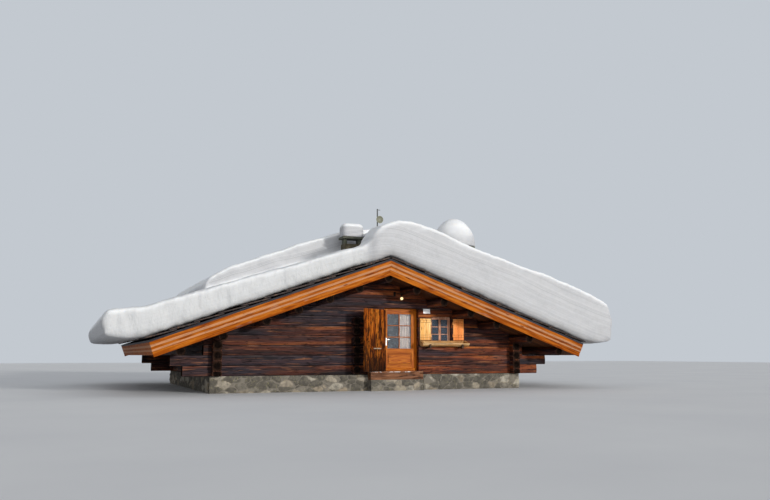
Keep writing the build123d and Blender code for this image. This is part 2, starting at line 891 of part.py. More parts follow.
def stone_slabs():
    # Thick slabs laid in lapped courses, each tilted so its lower edge stands up.
    exposure = slope_length / slab_courses
    top = [slope_point(slope_length, 0)]
    for number in range(slab_courses - 1, 0, -1):
        top.append(slope_point(number * exposure, slab_tilt))
        top.append(slope_point(number * exposure, 0))
    top.append(ridge_point(0))
    outline = [ridge_point(slab_layer), slope_point(slope_length, slab_layer)] + top
    return prism_along_y(outline, -verge_half_depth, verge_half_depth)


def build_roof():
    y = verge_half_depth
    deck_length = slope_length - slab_drip
    inner_y = y - (len(barge_splits) + 1) * barge_thickness
    for name, slabs in zip(("right_roof_slabs", "left_roof_slabs"), both_sides(stone_slabs())):
        save(name, slabs)
    deck = roof_layer(deck_depth, rafter_depth, deck_length, -y, y)
    for name, piece in zip(("right_roof_deck", "left_roof_deck"), both_sides(deck)):
        save(name, piece)
    board_end = deck_length - eave_board_thickness
    soffit = roof_layer(soffit_depth, under_depth, board_end, -inner_y, inner_y)
    for name, piece in zip(("right_soffit_boards", "left_soffit_boards"), both_sides(soffit)):
        save(name, piece)
    rafters = []
    pitch_y = (2 * inner_y - rafter_width) / rafter_bays
    for number in range(rafter_bays + 1):
        start = -inner_y + number * pitch_y
        rafter = roof_layer(rafter_depth, soffit_depth, board_end, start, start + rafter_width)
        rafters += both_sides(rafter)
    save("left_rafters", *rafters[1::2])
    save("right_rafters", *rafters[0::2])
    eave = [slope_point(deck_length, rafter_depth), slope_point(deck_length, under_depth),
            slope_point(board_end, under_depth), slope_point(board_end, rafter_depth)]
    save("eave_boards", *both_sides(prism_along_y(eave, -inner_y, inner_y)))
    build_bargeboards(inner_y, deck_length)


def barge_board(bottom, length, inner, outer, bevelled):
    # One board along the right slope's verge; its lower front edge may be planed off.
    board = roof_layer(rafter_depth, bottom, length, *sorted((inner, outer)))
    if not bevelled:
        return board
    face = board.faces().sort_by(lambda side: abs(side.center().Y - outer))[0]
    edge = face.edges().sort_by(lambda side: side.center().Z + roof_fall * side.center().X)[0]
    return chamfer(edge, barge_bevel_height, barge_bevel_depth, reference=face)


def build_bargeboards(inner_y, length):
    # Three boards on each verge, each one narrower than the board behind it.
    mitre = block(-mitre_gap, mitre_gap, -verge_half_depth, verge_half_depth, 0, ridge_height)
    names = ("lower_bargeboards", "middle_bargeboards", "upper_bargeboards")
    upper, middle = [rafter_depth + split for split in barge_splits]
    for layer, (name, bottom) in enumerate(zip(names, (under_depth + barge_drop, middle, upper))):
        boards = []
        for y_side in (-1, 1):
            inner = y_side * (inner_y + layer * barge_thickness)
            board = barge_board(bottom, length, inner, inner + y_side * barge_thickness, layer > 0)
            boards += both_sides(board - mitre)
        save(name, *boards)


def build_purlins():
    reach = verge_half_depth - purlin_setback
    rods = []
    for x in [0] + purlin_xs():
        rod = Rot(90, 0, 0) * Cylinder(purlin_radius, 2 * reach)
        rods.append(Pos(x, 0, roof_top(x, purlin_depth)) * rod)
    save("ridge_purlin", rods[0])
    save("right_purlins", *rods[1:])
    save("left_purlins", *[mirror(rod, about=Plane.YZ) for rod in rods[1:]])


# Chimneys and mast

def stack(place, size, top):
    # A masonry stack cut to the slope, with a flue down its middle.
    x, y = place
    w, d = size
    shaft = block(x - w / 2, x + w / 2, y - d / 2, y + d / 2, plinth_height, top)
    shaft -= block(x - w / 2 + flue_wall, x + w / 2 - flue_wall, y - d / 2 + flue_wall,
                   y + d / 2 - flue_wall, top - flue_depth, top)
    reach = eave_half_width
    low = roof_top(reach) + seat_gap
    under = [(0, ridge_height + seat_gap), (reach, low), (reach, -1), (-reach, -1), (-reach, low)]
    return shaft - prism_along_y(under, -verge_half_depth, verge_half_depth)


def smoke_cap(place, size, pier, stack_top, slab_foot, slab_size, thickness):
    # Two piers on the stack carry a stone slab and leave the smoke a way out.
    x, y = place
    cap = block(x - slab_size[0] / 2, x + slab_size[0] / 2, y - slab_size[1] / 2, y + slab_size[1] / 2,
                slab_foot, slab_foot + thickness)
    for side in (-1, 1):
        x0, x1 = sorted((x + side * size[0] / 2, x + side * (size[0] / 2 - pier[0])))
        cap += block(x0, x1, y - pier[1] / 2, y + pier[1] / 2, stack_top, slab_foot)
    return cap


def snow_loaf(place, size, foot, height):
    # A loaf of snow on a slab, with rounded corners and crown.
    x, y = place
    loaf = block(x - size[0] / 2, x + size[0] / 2, y - size[1] / 2, y + size[1] / 2, foot, foot + height)
    loaf = fillet(loaf.edges().filter_by(Axis.Z), left_cap_corner)
    return fillet(loaf.faces().sort_by(Axis.Z)[-1].edges(), left_cap_crown)


def snow_dome(place, radius, foot, height):
    # A tall dome of snow, wider than the slab that it sits on.
    dome = scale(Sphere(radius), by=(1, 1, height / radius))
    return Pos(*place, foot) * (dome & block(-radius, radius, -radius, radius, 0, height))


def build_chimneys():
    save("left_chimney_stack", stack(left_chimney, left_stack_size, left_stack_top))
    save("left_chimney_slab", smoke_cap(left_chimney, left_stack_size, left_pier, left_stack_top,
                                        left_slab_foot, left_slab_size, left_slab_thickness))
    save("left_chimney_snow", snow_loaf(left_chimney, left_slab_size,
                                        left_slab_foot + left_slab_thickness, left_cap_height))
    save("right_chimney_stack", stack(right_chimney, right_stack_size, right_stack_top))
    save("right_chimney_slab", smoke_cap(right_chimney, right_stack_size, right_pier, right_stack_top,
                                         right_slab_foot, right_slab_size, right_slab_thickness))
    save("right_chimney_snow", snow_dome(right_chimney, right_dome_radius,
                                         right_slab_foot + right_slab_thickness, right_cap_height))


def build_mast():
    # A pole on the right slope, with a short bar near its top and a small dish on an arm.
    x, y = mast_place
    dish_level = mast_top - dish_drop
    foot = roof_top(x) + seat_gap
    pole = Pos(x, y, (foot + mast_top) / 2) * Cylinder(mast_radius, mast_top - foot)
    slope = [(0, ridge_height + seat_gap), (eave_half_width, roof_top(eave_half_width)), (0, 0)]
    pole -= prism_along_y(slope, y - 4 * mast_radius, y + 4 * mast_radius)
    pole += Pos(x + mast_bar / 2, y, mast_top - mast_bar_drop) * Rot(0, 90, 0) * Cylinder(mast_bar_radius, mast_bar)
    arm = Cylinder(dish_arm_radius, dish_arm)
    pole += Pos(x + dish_arm / 2, y, dish_level) * Rot(0, 90, 0) * arm
    stub = Cylinder(dish_stub_radius, dish_stub_front + dish_stub_back)
    pole += Pos(x + dish_arm, y + (dish_stub_back - dish_stub_front) / 2, dish_level) * Rot(90, 0, 0) * stub
    save("dish_mast", pole)
    globe = (dish_radius ** 2 + dish_depth ** 2) / (2 * dish_depth)
    bowl = Sphere(globe) - Sphere(globe - dish_thickness)
    bowl &= Pos(0, 0, globe - dish_depth / 2) * Box(2 * globe, 2 * globe, dish_depth)
    back = y - dish_stub_front - seat_gap - globe
    save("small_dish", Pos(x + dish_arm, back, dish_level) * Rot(-90, 0, 0) * bowl)


# Snow

def on_roof(x, depth):
    # A point on snow that lies so deep over the slabs.
    return (x, roof_top(x) + depth)


def nose(side, depth, drop):
    # The snow's rounded lip over the eave, from under the slabs' edge up to its shoulder.
    x = side * eave_half_width
    low = roof_top(eave_half_width)
    reach = side * snow_overhang
    return [(x, low + seat_gap), (x + reach * 0.5, low - drop), (x + reach * 0.9, low),
            (x + reach, low + depth * 0.45), (x + reach * 0.85, low + depth * 0.8)]


def around(place, size, extra, z0, z1):
    x, y = place
    return block(x - size[0] / 2 - extra, x + size[0] / 2 + extra,
                 y - size[1] / 2 - extra, y + size[1] / 2 + extra, z0, z1)


def deep_snow_outline(heights):
    # The mass over the ridge and the right slope, seen from the front.
    shoulder = on_roof(eave_half_width + deep_snow_past_eave, deep_snow_at_eave)
    outline = [on_roof(x, depth) for x, depth in heights + [deep_snow_low]] + [shoulder]
    outline += reversed(nose(1, shoulder[1] - roof_top(eave_half_width), deep_nose_drop))
    return outline + [(0, ridge_height + seat_gap), on_roof(ridge_snow_edge, seat_gap)]


def build_deep_snow():
    # Cut away round the left chimney, and drifted higher over the ridge behind it.
    end = verge_half_depth + snow_proud
    deep = prism_along_y(deep_snow_outline(deep_snow), -end, thick_snow_front)
    deep += prism_along_y(deep_snow_outline(deep_snow_behind), thick_snow_front, end)
    deep -= block(ridge_snow_edge, niche_edge, niche_front, thick_snow_front, 0, 2 * ridge_height)
    deep -= around(right_chimney, right_stack_size, seat_gap, 0, 2 * ridge_height)
    x, y = mast_place
    deep -= Pos(x, y, mast_top / 2) * Cylinder(mast_radius + seat_gap, mast_top)
    save("right_roof_snow", deep)


def build_thin_snow():
    # The layer on the left slope and in the niche, which the thick snow behind it interrupts.
    end = verge_half_depth + snow_proud
    outline = [on_roof(x, depth) for x, depth in thin_snow]
    outline += [on_roof(-eave_half_width, thin_snow_at_eave)]
    outline += reversed(nose(-1, thin_snow_at_eave, thin_nose_drop))
    outline += [(0, ridge_height + seat_gap), on_roof(niche_edge, seat_gap)]
    thin = prism_along_y(outline, -end, end)
    thin -= block(ridge_snow_edge, niche_edge, -end, niche_front, 0, 2 * ridge_height)
    thin -= block(thick_snow_edge(), niche_edge, thick_snow_front, end, 0, 2 * ridge_height)
    thin -= around(left_chimney, left_stack_size, seat_gap, 0, 2 * ridge_height)
    save("left_thin_snow", thin)


def thick_snow_edge():
    return thick_snow_back_off - eave_half_width


def build_thick_snow():
    # The bank that still lies on the left slope behind the cleared front.
    edge = thick_snow_edge()
    outline = [on_roof(ridge_snow_edge, thick_snow_at_ridge)]
    outline += [on_roof(edge + inset, depth) for inset, depth in reversed(thick_snow)]
    outline += [on_roof(edge, seat_gap), on_roof(ridge_snow_edge, seat_gap)]
    save("left_thick_snow", prism_along_y(outline, thick_snow_front, verge_half_depth + snow_proud))


os.makedirs("parts", exist_ok=True)
build_walls()
build_side_walls()
build_plinth()
build_floor()
build_step()
build_door_frame()
build_front_door()
build_door_handle()
build_curtain()
build_outer_door()
build_windows()
build_shutters()
build_pins()
build_trough()
build_lamp()
build_plate()
build_roof()
build_purlins()
build_chimneys()
build_mast()
build_deep_snow()
build_thin_snow()
build_thick_snow()
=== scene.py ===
import math
import random

import bmesh
import bpy
from mathutils import Matrix, Vector, noise


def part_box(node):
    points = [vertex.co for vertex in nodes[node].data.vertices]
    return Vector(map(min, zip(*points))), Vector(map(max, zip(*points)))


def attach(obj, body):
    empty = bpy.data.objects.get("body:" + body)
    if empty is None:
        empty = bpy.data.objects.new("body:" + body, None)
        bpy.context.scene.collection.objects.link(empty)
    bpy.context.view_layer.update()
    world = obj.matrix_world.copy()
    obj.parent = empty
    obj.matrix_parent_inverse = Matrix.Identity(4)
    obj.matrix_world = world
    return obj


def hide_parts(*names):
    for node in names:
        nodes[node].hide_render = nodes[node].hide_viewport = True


# Looks of the snowed-in log chalet, in metres, in the frame of its CAD model.

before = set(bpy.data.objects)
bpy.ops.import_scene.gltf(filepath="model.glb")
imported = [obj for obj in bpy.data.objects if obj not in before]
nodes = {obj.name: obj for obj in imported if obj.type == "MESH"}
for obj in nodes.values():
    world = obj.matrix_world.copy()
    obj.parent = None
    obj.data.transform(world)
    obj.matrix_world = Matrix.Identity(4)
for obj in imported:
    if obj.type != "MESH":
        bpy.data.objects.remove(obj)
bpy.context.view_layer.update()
axes = (Vector((1, 0, 0)), Vector((0, 1, 0)), Vector((0, 0, 1)))

# Roof lines and log courses, as the frame has them
roof_fall = 0.36
pitch = math.atan(roof_fall)
deck_foot = 0.16
ridge_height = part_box("upper_bargeboards")[1].z + deck_foot / math.cos(pitch)
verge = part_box("right_roof_slabs")[1].y
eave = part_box("right_roof_slabs")[1].x
slab_layer = 0.1
plinth_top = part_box("plinth_sides")[1].z
course_height = 0.305
log_thickness = 0.24
wall_x = 5.2 - log_thickness / 2
wall_y = 4.5 - log_thickness / 2
side_log_courses = 4
gable_log_courses = 3

# Slabs
slab_courses = 11
slab_lap = 0.2
slab_width = 0.62
slab_thickness = 0.05
slab_overhang = 0.03
slab_depth = 0.062
narrowest_slab = 0.12

# Painted highlights on the bevelled lower edges of the bargeboards, where they catch the light from below, as depths
# under the slabs
barge_highlight_depths = ((0.248, 0.308), (0.38, 0.426))

# Snow
snow_voxel = 0.082
cap_voxel = 0.03
snow_front_zone = 0.9
snow_set_back = 0.2
snow_room = 0.01

# Front door: its stiles, and the grooves of its panel as half width, foot and head
door_stile = 0.118
door_panels = ((0.425, 0.8, 1.18), (0.385, 0.84, 1.14))

# Levels of the shutters' battens, over their foot and under their head
batten_levels = (0.13, 0.09)

# Plinth stones
rubble_grid = 0.03
stone_length = 0.34
stone_height = 0.2
stone_reach = 0.035

# Curtain
curtain_folds = 7
curtain_rows = 24
curtain_columns = 112

# Camera, worked out from the photo
lens_length = 35.53
sensor_width = 36
camera_place = (-9.133, -27.30, 1.12)
camera_rise = 7.87
camera_turn = -22.5


def roof_top(x, depth=0.0):
    # Height of the slabs' upper plane over x, or of a layer so deep under it.
    return ridge_height - roof_fall * abs(x) - depth / math.cos(pitch)


# Shader helpers

class Value:
    # An output of a shader node. The signs of arithmetic between such values make maths nodes.
    def __init__(self, socket):
        self.socket = socket
        self.tree = socket.id_data

    def __add__(self, other):
        return maths("ADD", self, other)

    def __radd__(self, other):
        return maths("ADD", other, self)

    def __sub__(self, other):
        return maths("SUBTRACT", self, other)

    def __rsub__(self, other):
        return maths("SUBTRACT", other, self)

    def __mul__(self, other):
        return maths("MULTIPLY", self, other)

    def __truediv__(self, other):
        return maths("DIVIDE", self, other)

    def __abs__(self):
        return maths("ABSOLUTE", self)


def tree_of(*values):
    return next(value.tree for value in values if isinstance(value, Value))


def put(socket, value):
    # Links a value to a socket, or sets the socket's own number or colour.
    if isinstance(value, Value):
        socket.id_data.links.new(value.socket, socket)
    else:
        socket.default_value = value


def node(tree, kind, inputs=(), give=0, **settings):
    # Makes a node and gives one of its outputs.
    made = tree.nodes.new(kind)
    for key, value in settings.items():
        setattr(made, key, value)
    for key, value in dict(inputs).items():
        put(made.inputs[key], value)
    return Value(made.outputs[give])


def outputs_of(value):
    # All outputs of the node that a value comes from, by name.
    return {socket.name: Value(socket) for socket in value.socket.node.outputs}


def maths(operation, a, b=0.0, clamp=False):
    return node(tree_of(a, b), "ShaderNodeMath", {0: a, 1: b}, operation=operation, use_clamp=clamp)


def most(a, b):
    return maths("MAXIMUM", a, b)


def scaled(vector, scale, shift=(0.0, 0.0, 0.0)):
    return node(vector.tree, "ShaderNodeMapping", {"Vector": vector, "Scale": scale, "Location": shift})


def split(vector):
    return list(outputs_of(node(vector.tree, "ShaderNodeSeparateXYZ", {0: vector})).values())


def joined(x, y, z):
    return node(tree_of(x, y, z), "ShaderNodeCombineXYZ", {0: x, 1: y, 2: z})


def clouds(vector, scale, detail=3.0, rough=0.55):
    inputs = {"Vector": vector, "Scale": scale, "Detail": detail, "Roughness": rough}
    return node(vector.tree, "ShaderNodeTexNoise", inputs)


def drawn(vector, stretch, detail=3.0, shift=(0.0, 0.0, 0.0), rough=0.55):
    # Clouds drawn out along one way, such as the grain.
    return clouds(scaled(vector, stretch, shift), 1.0, detail, rough)


def cells(vector, scale=1.0, feature="F1"):
    # Distance from the middles of scattered cells.
    return node(vector.tree, "ShaderNodeTexVoronoi", {"Vector": vector, "Scale": scale}, "Distance", feature=feature)


def fade(value, low, high):
    # 0 below low and 1 above high, smooth between; low may be above high.
    inputs = {"Value": value, "From Min": low, "From Max": high, "To Min": 0.0, "To Max": 1.0}
    if low > high:
        inputs.update({"From Min": high, "From Max": low, "To Min": 1.0, "To Max": 0.0})
    return node(value.tree, "ShaderNodeMapRange", inputs, interpolation_type="SMOOTHSTEP")


def colour(code):
    # A six-digit screen colour as a linear one.
    parts = [int(code[i:i + 2], 16) / 255 for i in (0, 2, 4)]
    linear = [p / 12.92 if p <= 0.04045 else ((p + 0.055) / 1.055) ** 2.4 for p in parts]
    return (*linear, 1.0)


def mixed(factor, a, b, blend="MIX"):
    made = node(tree_of(factor, a, b), "ShaderNodeMix", {"Factor": factor}, data_type="RGBA", blend_type=blend)
    mix = made.socket.node
    for socket, value in zip([s for s in mix.inputs if s.type == "RGBA"], (a, b)):
        put(socket, value)
    return Value([s for s in mix.outputs if s.type == "RGBA"][0])


def tinted(under, mask, code, blend="MIX"):
    # Lays a colour over another one where the mask says.
    return mixed(mask, under, colour(code), blend)


def ramp(factor, *stops):
    # Colours at places from 0 to 1.
    made = node(factor.tree, "ShaderNodeValToRGB", {"Fac": factor})
    band = made.socket.node.color_ramp
    while len(band.elements) < len(stops):
        band.elements.new(0.5)
    for element, (place, code) in zip(band.elements, stops):
        element.position = place
        element.color = colour(code)
    return made


def relief(height, distance):
    return node(height.tree, "ShaderNodeBump", {"Height": height, "Distance": distance, "Strength": 1.0})


def effect(name, build, outputs, **amounts):
    # A shader node group that takes Place and some amounts; build returns what feeds each output.
    group = bpy.data.node_groups.new(name, "ShaderNodeTree")
    group.interface.new_socket("Place", in_out="INPUT", socket_type="NodeSocketVector")
    for label, amount in amounts.items():
        group.interface.new_socket(label, in_out="INPUT", socket_type="NodeSocketFloat").default_value = amount
    for label in outputs:
        kind = "NodeSocketVector" if label == "Place" else "NodeSocketFloat"
        group.interface.new_socket(label, in_out="OUTPUT", socket_type=kind)
    start = group.nodes.new("NodeGroupInput")
    end = group.nodes.new("NodeGroupOutput")
    for label, value in build({socket.name: Value(socket) for socket in start.outputs}).items():
        put(end.inputs[label], value)
    return group


def use(name, place, **amounts):
    made = place.tree.nodes.new("ShaderNodeGroup")
    made.node_tree = effects[name]
    for label, value in {"Place": place, **amounts}.items():
        put(made.inputs[label], value)
    return {socket.name: Value(socket) for socket in made.outputs}


# Effects that several materials share

def wood_figure(given):
    # Growth bands, fibres, knots and drying checks; the grain runs along X of Place.
    place = given["Place"]
    knot_cells = cells(scaled(place, (1.5, 7.5, 7.5)))
    knots = fade(knot_cells, 0.17, 0.09) * given["Knots"]
    pull = fade(knot_cells, 0.5, 0.05) * 0.12
    bands = maths("PINGPONG", (drawn(place, (0.45, 7.0, 7.0), 2.0) + pull) * given["Rings"], 1.0)
    fibres = drawn(place, (4.0, 150.0, 150.0), 2.0)
    tone = drawn(place, (0.6, 2.5, 2.5), 3.0, (7.0, 3.0, 1.0))
    splits = drawn(place, (1.3, 34.0, 34.0), 1.5, (2.0, 5.0, 9.0))
    checks = fade(abs(splits - 0.5), 0.02, 0.004)
    height = bands * 0.35 + fibres * 0.3 - checks
    return {"Bands": bands, "Fibres": fibres, "Tone": tone, "Knots": knots, "Checks": checks, "Height": height}


def slope_place(given):
    # Down the slope along X, across the slope along Y, out of the slope along Z, on both slopes.
    x, y, z = split(given["Place"])
    side = abs(x)
    down = side * math.cos(pitch) - z * math.sin(pitch)
    out = side * math.sin(pitch) + z * math.cos(pitch)
    return {"Place": joined(down, y + maths("SIGN", x) * 20.0, out)}


def stone_face(given):
    # Mottled grey and brown rock with rust-coloured and pale specks.
    place, scale = given["Place"], given["Scale"]
    mottle = clouds(place, scale, 6.0, 0.62)
    specks = clouds(scaled(place, (1.0, 1.0, 1.0), (4.0, 1.0, 6.0)), scale * 9.0, 3.0, 0.7)
    lichen = fade(clouds(place, scale * 2.3, 4.0, 0.7), 0.56, 0.66)
    return {"Mottle": mottle, "Specks": specks, "Lichen": lichen, "Height": mottle + specks * 0.35}


def snow_crust(given):
    # Wind-smoothed snow: broad soft waves, fine grains and faint layers parallel to the roof.
    place = given["Place"]
    x, y, z = split(place)
    over = z + maths("SQRT", x * x + 0.6) * roof_fall
    stack = over + clouds(place, 0.4, 2.0) * 0.4
    layers = clouds(joined(0.0, 0.0, stack * 9.0), 1.0, 4.0, 0.75)
    grains = clouds(place, 55.0, 3.0, 0.7)
    height = clouds(place, 1.8, 3.0, 0.5) + grains * 0.06 + layers * given["Layers"]
    return {"Layers": layers, "Grains": grains, "Height": height}


def end_rings(given):
    # Growth rings and radial checks of a sawn end; Place has its pith at 0 in X and Y.
    place = given["Place"]
    x, y, z = split(place)
    far = node(place.tree, "ShaderNodeVectorMath", {0: joined(x, y, 0.0)}, "Value", operation="LENGTH")
    rings = maths("PINGPONG", far * 90.0 + clouds(place, 9.0, 2.0) * 5.0, 1.0)
    spokes = clouds(joined(maths("ARCTAN2", y, x) * 1.6, far * 3.0, z), 2.2, 2.0)
    return {"Rings": rings, "Checks": fade(abs(spokes - 0.5), 0.03, 0.006), "Rim": fade(far, 0.08, 0.125)}


def weather_stain(given):
    # Streaks that run down Z and darken towards Foot from Head.
    place = given["Place"]
    inputs = {"Value": split(place)[2], "From Min": given["Head"], "From Max": given["Foot"]}
    low = node(place.tree, "ShaderNodeMapRange", inputs)
    return {"Stain": fade(low + drawn(place, (14.0, 14.0, 0.9), 4.0) * 0.9, 0.65, 1.25)}


effects = {
    "figure": effect("wood_figure", wood_figure, ("Bands", "Fibres", "Tone", "Knots", "Checks", "Height"),
                     Rings=12.0, Knots=1.0),
    "slope": effect("slope_place", slope_place, ("Place",)),
    "stone": effect("stone_face", stone_face, ("Mottle", "Specks", "Lichen", "Height"), Scale=6.0),
    "snow": effect("snow_crust", snow_crust, ("Layers", "Grains", "Height"), Layers=0.1),
    "ends": effect("end_rings", end_rings, ("Rings", "Checks", "Rim")),
    "stain": effect("weather_stain", weather_stain, ("Stain",), Foot=0.6, Head=2.6),
}


# Materials

def new_material(name, roughness=0.6, **plain):
    # A material with only its main shader; plain holds socket values that are the same all over.
    material = bpy.data.materials.new(name)
    material.use_nodes = True
    shader = material.node_tree.nodes["Principled BSDF"]
    shader.inputs["Roughness"].default_value = roughness
    for key, value in plain.items():
        shader.inputs[key.replace("_", " ")].default_value = value
    return material, shader


def place_in(material, grain="X"):
    # Object coordinates with the grain turned to X.
    place = node(material.node_tree, "ShaderNodeTexCoord", give="Object")
    if grain == "X":
        return place
    x, y, z = split(place)
    if grain == "Y":
        return joined(y, x, z)
    if grain == "Z":
        return joined(z, x, y)
    return use("slope", place)["Place"]


def kept_vector(material, name):
    # What keep_vectors has stored in the mesh.
    return node(material.node_tree, "ShaderNodeAttribute", give="Vector", attribute_name=name)


def finish(shader, tones, height, depth, rough=None):
    # Joins the colours, the relief and, where it varies, the roughness to the main shader.
    put(shader.inputs["Base Color"], tones)
    put(shader.inputs["Normal"], relief(height, depth))
    if rough:
        put(shader.inputs["Roughness"], rough)


def wood_rough(figure, least, spread):
    return maths("ADD", figure["Fibres"] * spread, least, clamp=True)


def plain_wood(name, grain, tones, knot_tone, rings=12.0, knots=1.0, depth=0.002):
    # Clean boards: bands between three tones, darker knots and checks.
    material, shader = new_material(name, Specular_IOR_Level=0.2)
    figure = use("figure", place_in(material, grain), Rings=rings, Knots=knots)
    tone = figure["Bands"] * 0.5 + figure["Tone"] * 0.6
    wood = ramp(tone, (0.2, tones[0]), (0.5, tones[1]), (0.8, tones[2]))
    wood = tinted(wood, figure["Fibres"] * 0.35, knot_tone, "MULTIPLY")
    wood = tinted(wood, figure["Knots"], knot_tone)
    wood = tinted(wood, figure["Checks"] * 0.7, "1a0f08")
    finish(shader, wood, figure["Height"], depth, wood_rough(figure, 0.4, 0.3))
    return material


def step_wood():
    # The step's beam, with blown snow left in patches on its upper side.
    material = plain_wood("step_beam", "X", ("4a2c18", "74472a", "946240"), "1c100a", 9.0, 1.0, 0.006)
    tones = material.node_tree.nodes["Principled BSDF"].inputs["Base Color"]
    place = place_in(material)
    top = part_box("door_step")[1].z
    up = fade(split(place)[2], top - 0.03, top - 0.004)
    patches = fade(drawn(place, (5.0, 9.0, 9.0), 4.0, rough=0.7), 0.52, 0.58)
    put(tones, tinted(Value(tones.links[0].from_socket), up * patches, "e4e6e8"))
    return material


def old_log(name, grain, coursed=True):
    # Sun-burnt larch logs: near black, with reddish and blue-grey streaks, hewn faces and open seams; painted shade
    # darkens them towards the left, and where coursed a painted highlight runs along the top edge of each log.
    material, shader = new_material(name, Specular_IOR_Level=0.2)
    place = place_in(material, grain)
    x, y, z = split(place_in(material))
    course = (z - plinth_top) / course_height
    number = maths("FLOOR", course)
    own = node(material.node_tree, "ShaderNodeVectorMath", {0: place, 1: joined(number * 7.3, 0.0, number * 1.7)})
    figure = use("figure", own, Rings=8.0, Knots=0.8)
    streaks = drawn(own, (0.3, 6.0, 6.0), 5.0, (3.0, 0.0, 8.0))
    cool = fade(drawn(own, (0.22, 1.6, 1.6), 3.0, (1.0, 9.0, 2.0)), 0.5, 0.6)
    pale = fade(drawn(own, (1.1, 26.0, 26.0), 3.0, (4.0, 1.0, 3.0)), 0.58, 0.68)
    sooted = fade(drawn(own, (0.8, 11.0, 11.0), 4.0, (2.0, 6.0, 1.0)), 0.52, 0.6)
    burnt = ramp(streaks, (0.3, "1e1112"), (0.45, "4c241a"), (0.58, "85401f"), (0.72, "c8702c"))
    # Painted shade: darker and bluer towards the left, where the wall lies in shade.
    burnt = tinted(burnt, fade(x, 0.3, -1.4) * 0.5, "1d1a20")
    burnt = tinted(burnt, cool * 0.75, "2b2832")
    burnt = tinted(burnt, pale * 0.55, "b4744a")
    burnt = tinted(burnt, sooted * 0.55, "140d0e")
    burnt = tinted(burnt, figure["Fibres"] * 0.45, "3a2620", "MULTIPLY")
    burnt = tinted(burnt, figure["Checks"], "0a0606")
    burnt = tinted(burnt, figure["Knots"], "160c0a")
    height = figure["Height"] + cells(scaled(own, (2.2, 8.0, 8.0)), 1.0, "SMOOTH_F1") * 1.2
    if coursed:
        share = maths("FRACT", course)
        edge = maths("MINIMUM", share, 1.0 - share)
        seam = fade(edge + streaks * 0.015, 0.035, 0.018)
        # Painted highlight: a pale line along the top edge of each log, under the seam.
        lit = fade(share, 0.9, 0.94) * fade(share, 0.98, 0.955)
        broken = fade(drawn(place, (1.4, 1.4, 0.2), 2.0), 0.45, 0.6)
        burnt = tinted(burnt, lit * broken * 0.45, "7d6a66")
        burnt = tinted(burnt, seam, "070505")
        height = height - seam * 3.0
    finish(shader, burnt, height, 0.007, figure["Fibres"] * 0.3 + 0.5)
    return material


def barge_pine():
    # Oiled orange pine, greying in patches, with a painted highlight along the planed lower edges, where they catch
    # the light from below.
    material, shader = new_material("barge_pine", 0.6, Specular_IOR_Level=0.03)
    place = place_in(material, "slope")
    figure = use("figure", place, Rings=7.0, Knots=0.9)
    wander = drawn(place, (1.2, 8.0, 8.0)) * 0.03 - 0.015
    depth = ridge_height * math.cos(pitch) - split(place)[2] + wander
    tone = figure["Bands"] * 0.45 + figure["Tone"] * 0.65
    wood = ramp(tone, (0.25, "6e3004"), (0.5, "964a08"), (0.8, "b4661a"))
    # Painted highlight: paler bands on the bevelled lower edges, where they catch the light from below.
    for low, high in barge_highlight_depths:
        rim = fade(depth, low - 0.012, low + 0.008) * fade(depth, high + 0.012, high - 0.006)
        wood = tinted(wood, rim * 0.7, "c0906c")
    grey = fade(drawn(place, (1.5, 9.0, 9.0), 4.0, (9.0, 2.0, 5.0)), 0.6, 0.72)
    wood = tinted(wood, grey * 0.3, "9c8f86")
    wood = tinted(wood, figure["Knots"], "6b2f0c")
    wood = tinted(wood, figure["Checks"] * 0.5, "5a2c10")
    finish(shader, wood, figure["Height"], 0.0015, wood_rough(figure, 0.4, 0.25))
    return material


def log_end():
    # Weathered end grain with a paler rim.
    material, shader = new_material("log_end_grain", 0.85, Specular_IOR_Level=0.0)
    place = kept_vector(material, "end_place")
    rings = use("ends", place)
    end = ramp(clouds(place, 14.0, 4.0), (0.3, "080606"), (0.6, "15100e"), (0.8, "2a1e19"))
    end = tinted(end, rings["Rings"] * 0.2, "2c1f19", "SCREEN")
    end = tinted(end, rings["Rim"] * 0.35, "4a3428")
    end = tinted(end, rings["Checks"], "050302")
    finish(shader, end, rings["Rings"] * 0.2 - rings["Checks"], 0.006)
    return material


def old_planks():
    # Rough split planks, each of its own tone: orange brown, knotty, charred towards the foot.
    material, shader = new_material("old_door_planks", 0.7, Specular_IOR_Level=0.08)
    place = place_in(material)
    x, y, z = split(place)
    low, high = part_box("outer_door_planks")
    along = node(place.tree, "ShaderNodeMapRange", {"Value": x, "From Min": low.x, "From Max": high.x})
    plank = maths("FLOOR", along * 3.0)
    own = joined(z + plank * 4.7, x, y)
    figure = use("figure", own, Rings=5.0, Knots=1.0)
    tone = figure["Bands"] * 0.3 + figure["Tone"] * 0.6 + maths("PINGPONG", plank, 1.0) * 0.06
    wood = ramp(tone, (0.25, "3c1a08"), (0.42, "93460f"), (0.58, "bd6a1c"), (0.8, "d6893a"))
    patches = fade(drawn(own, (3.0, 16.0, 16.0), 4.0, (5.0, 2.0, 2.0)), 0.52, 0.57)
    blotches = fade(drawn(own, (3.5, 22.0, 22.0), 3.0, (8.0, 4.0, 1.0)) + fade(z, 2.5, 0.7) * 0.08, 0.56, 0.6)
    wood = tinted(wood, most(patches, blotches) * 0.88, "1c0b05")
    wood = tinted(wood, fade(cells(scaled(own, (5.0, 13.0, 13.0))), 0.26, 0.16), "160a04")
    wood = tinted(wood, use("stain", place, Foot=0.4, Head=1.9)["Stain"] * 0.92, "1c0d06")
    wood = tinted(wood, figure["Knots"], "140a05")
    wood = tinted(wood, figure["Checks"], "0a0503")
    finish(shader, wood, figure["Height"], 0.006, wood_rough(figure, 0.5, 0.35))
    return material


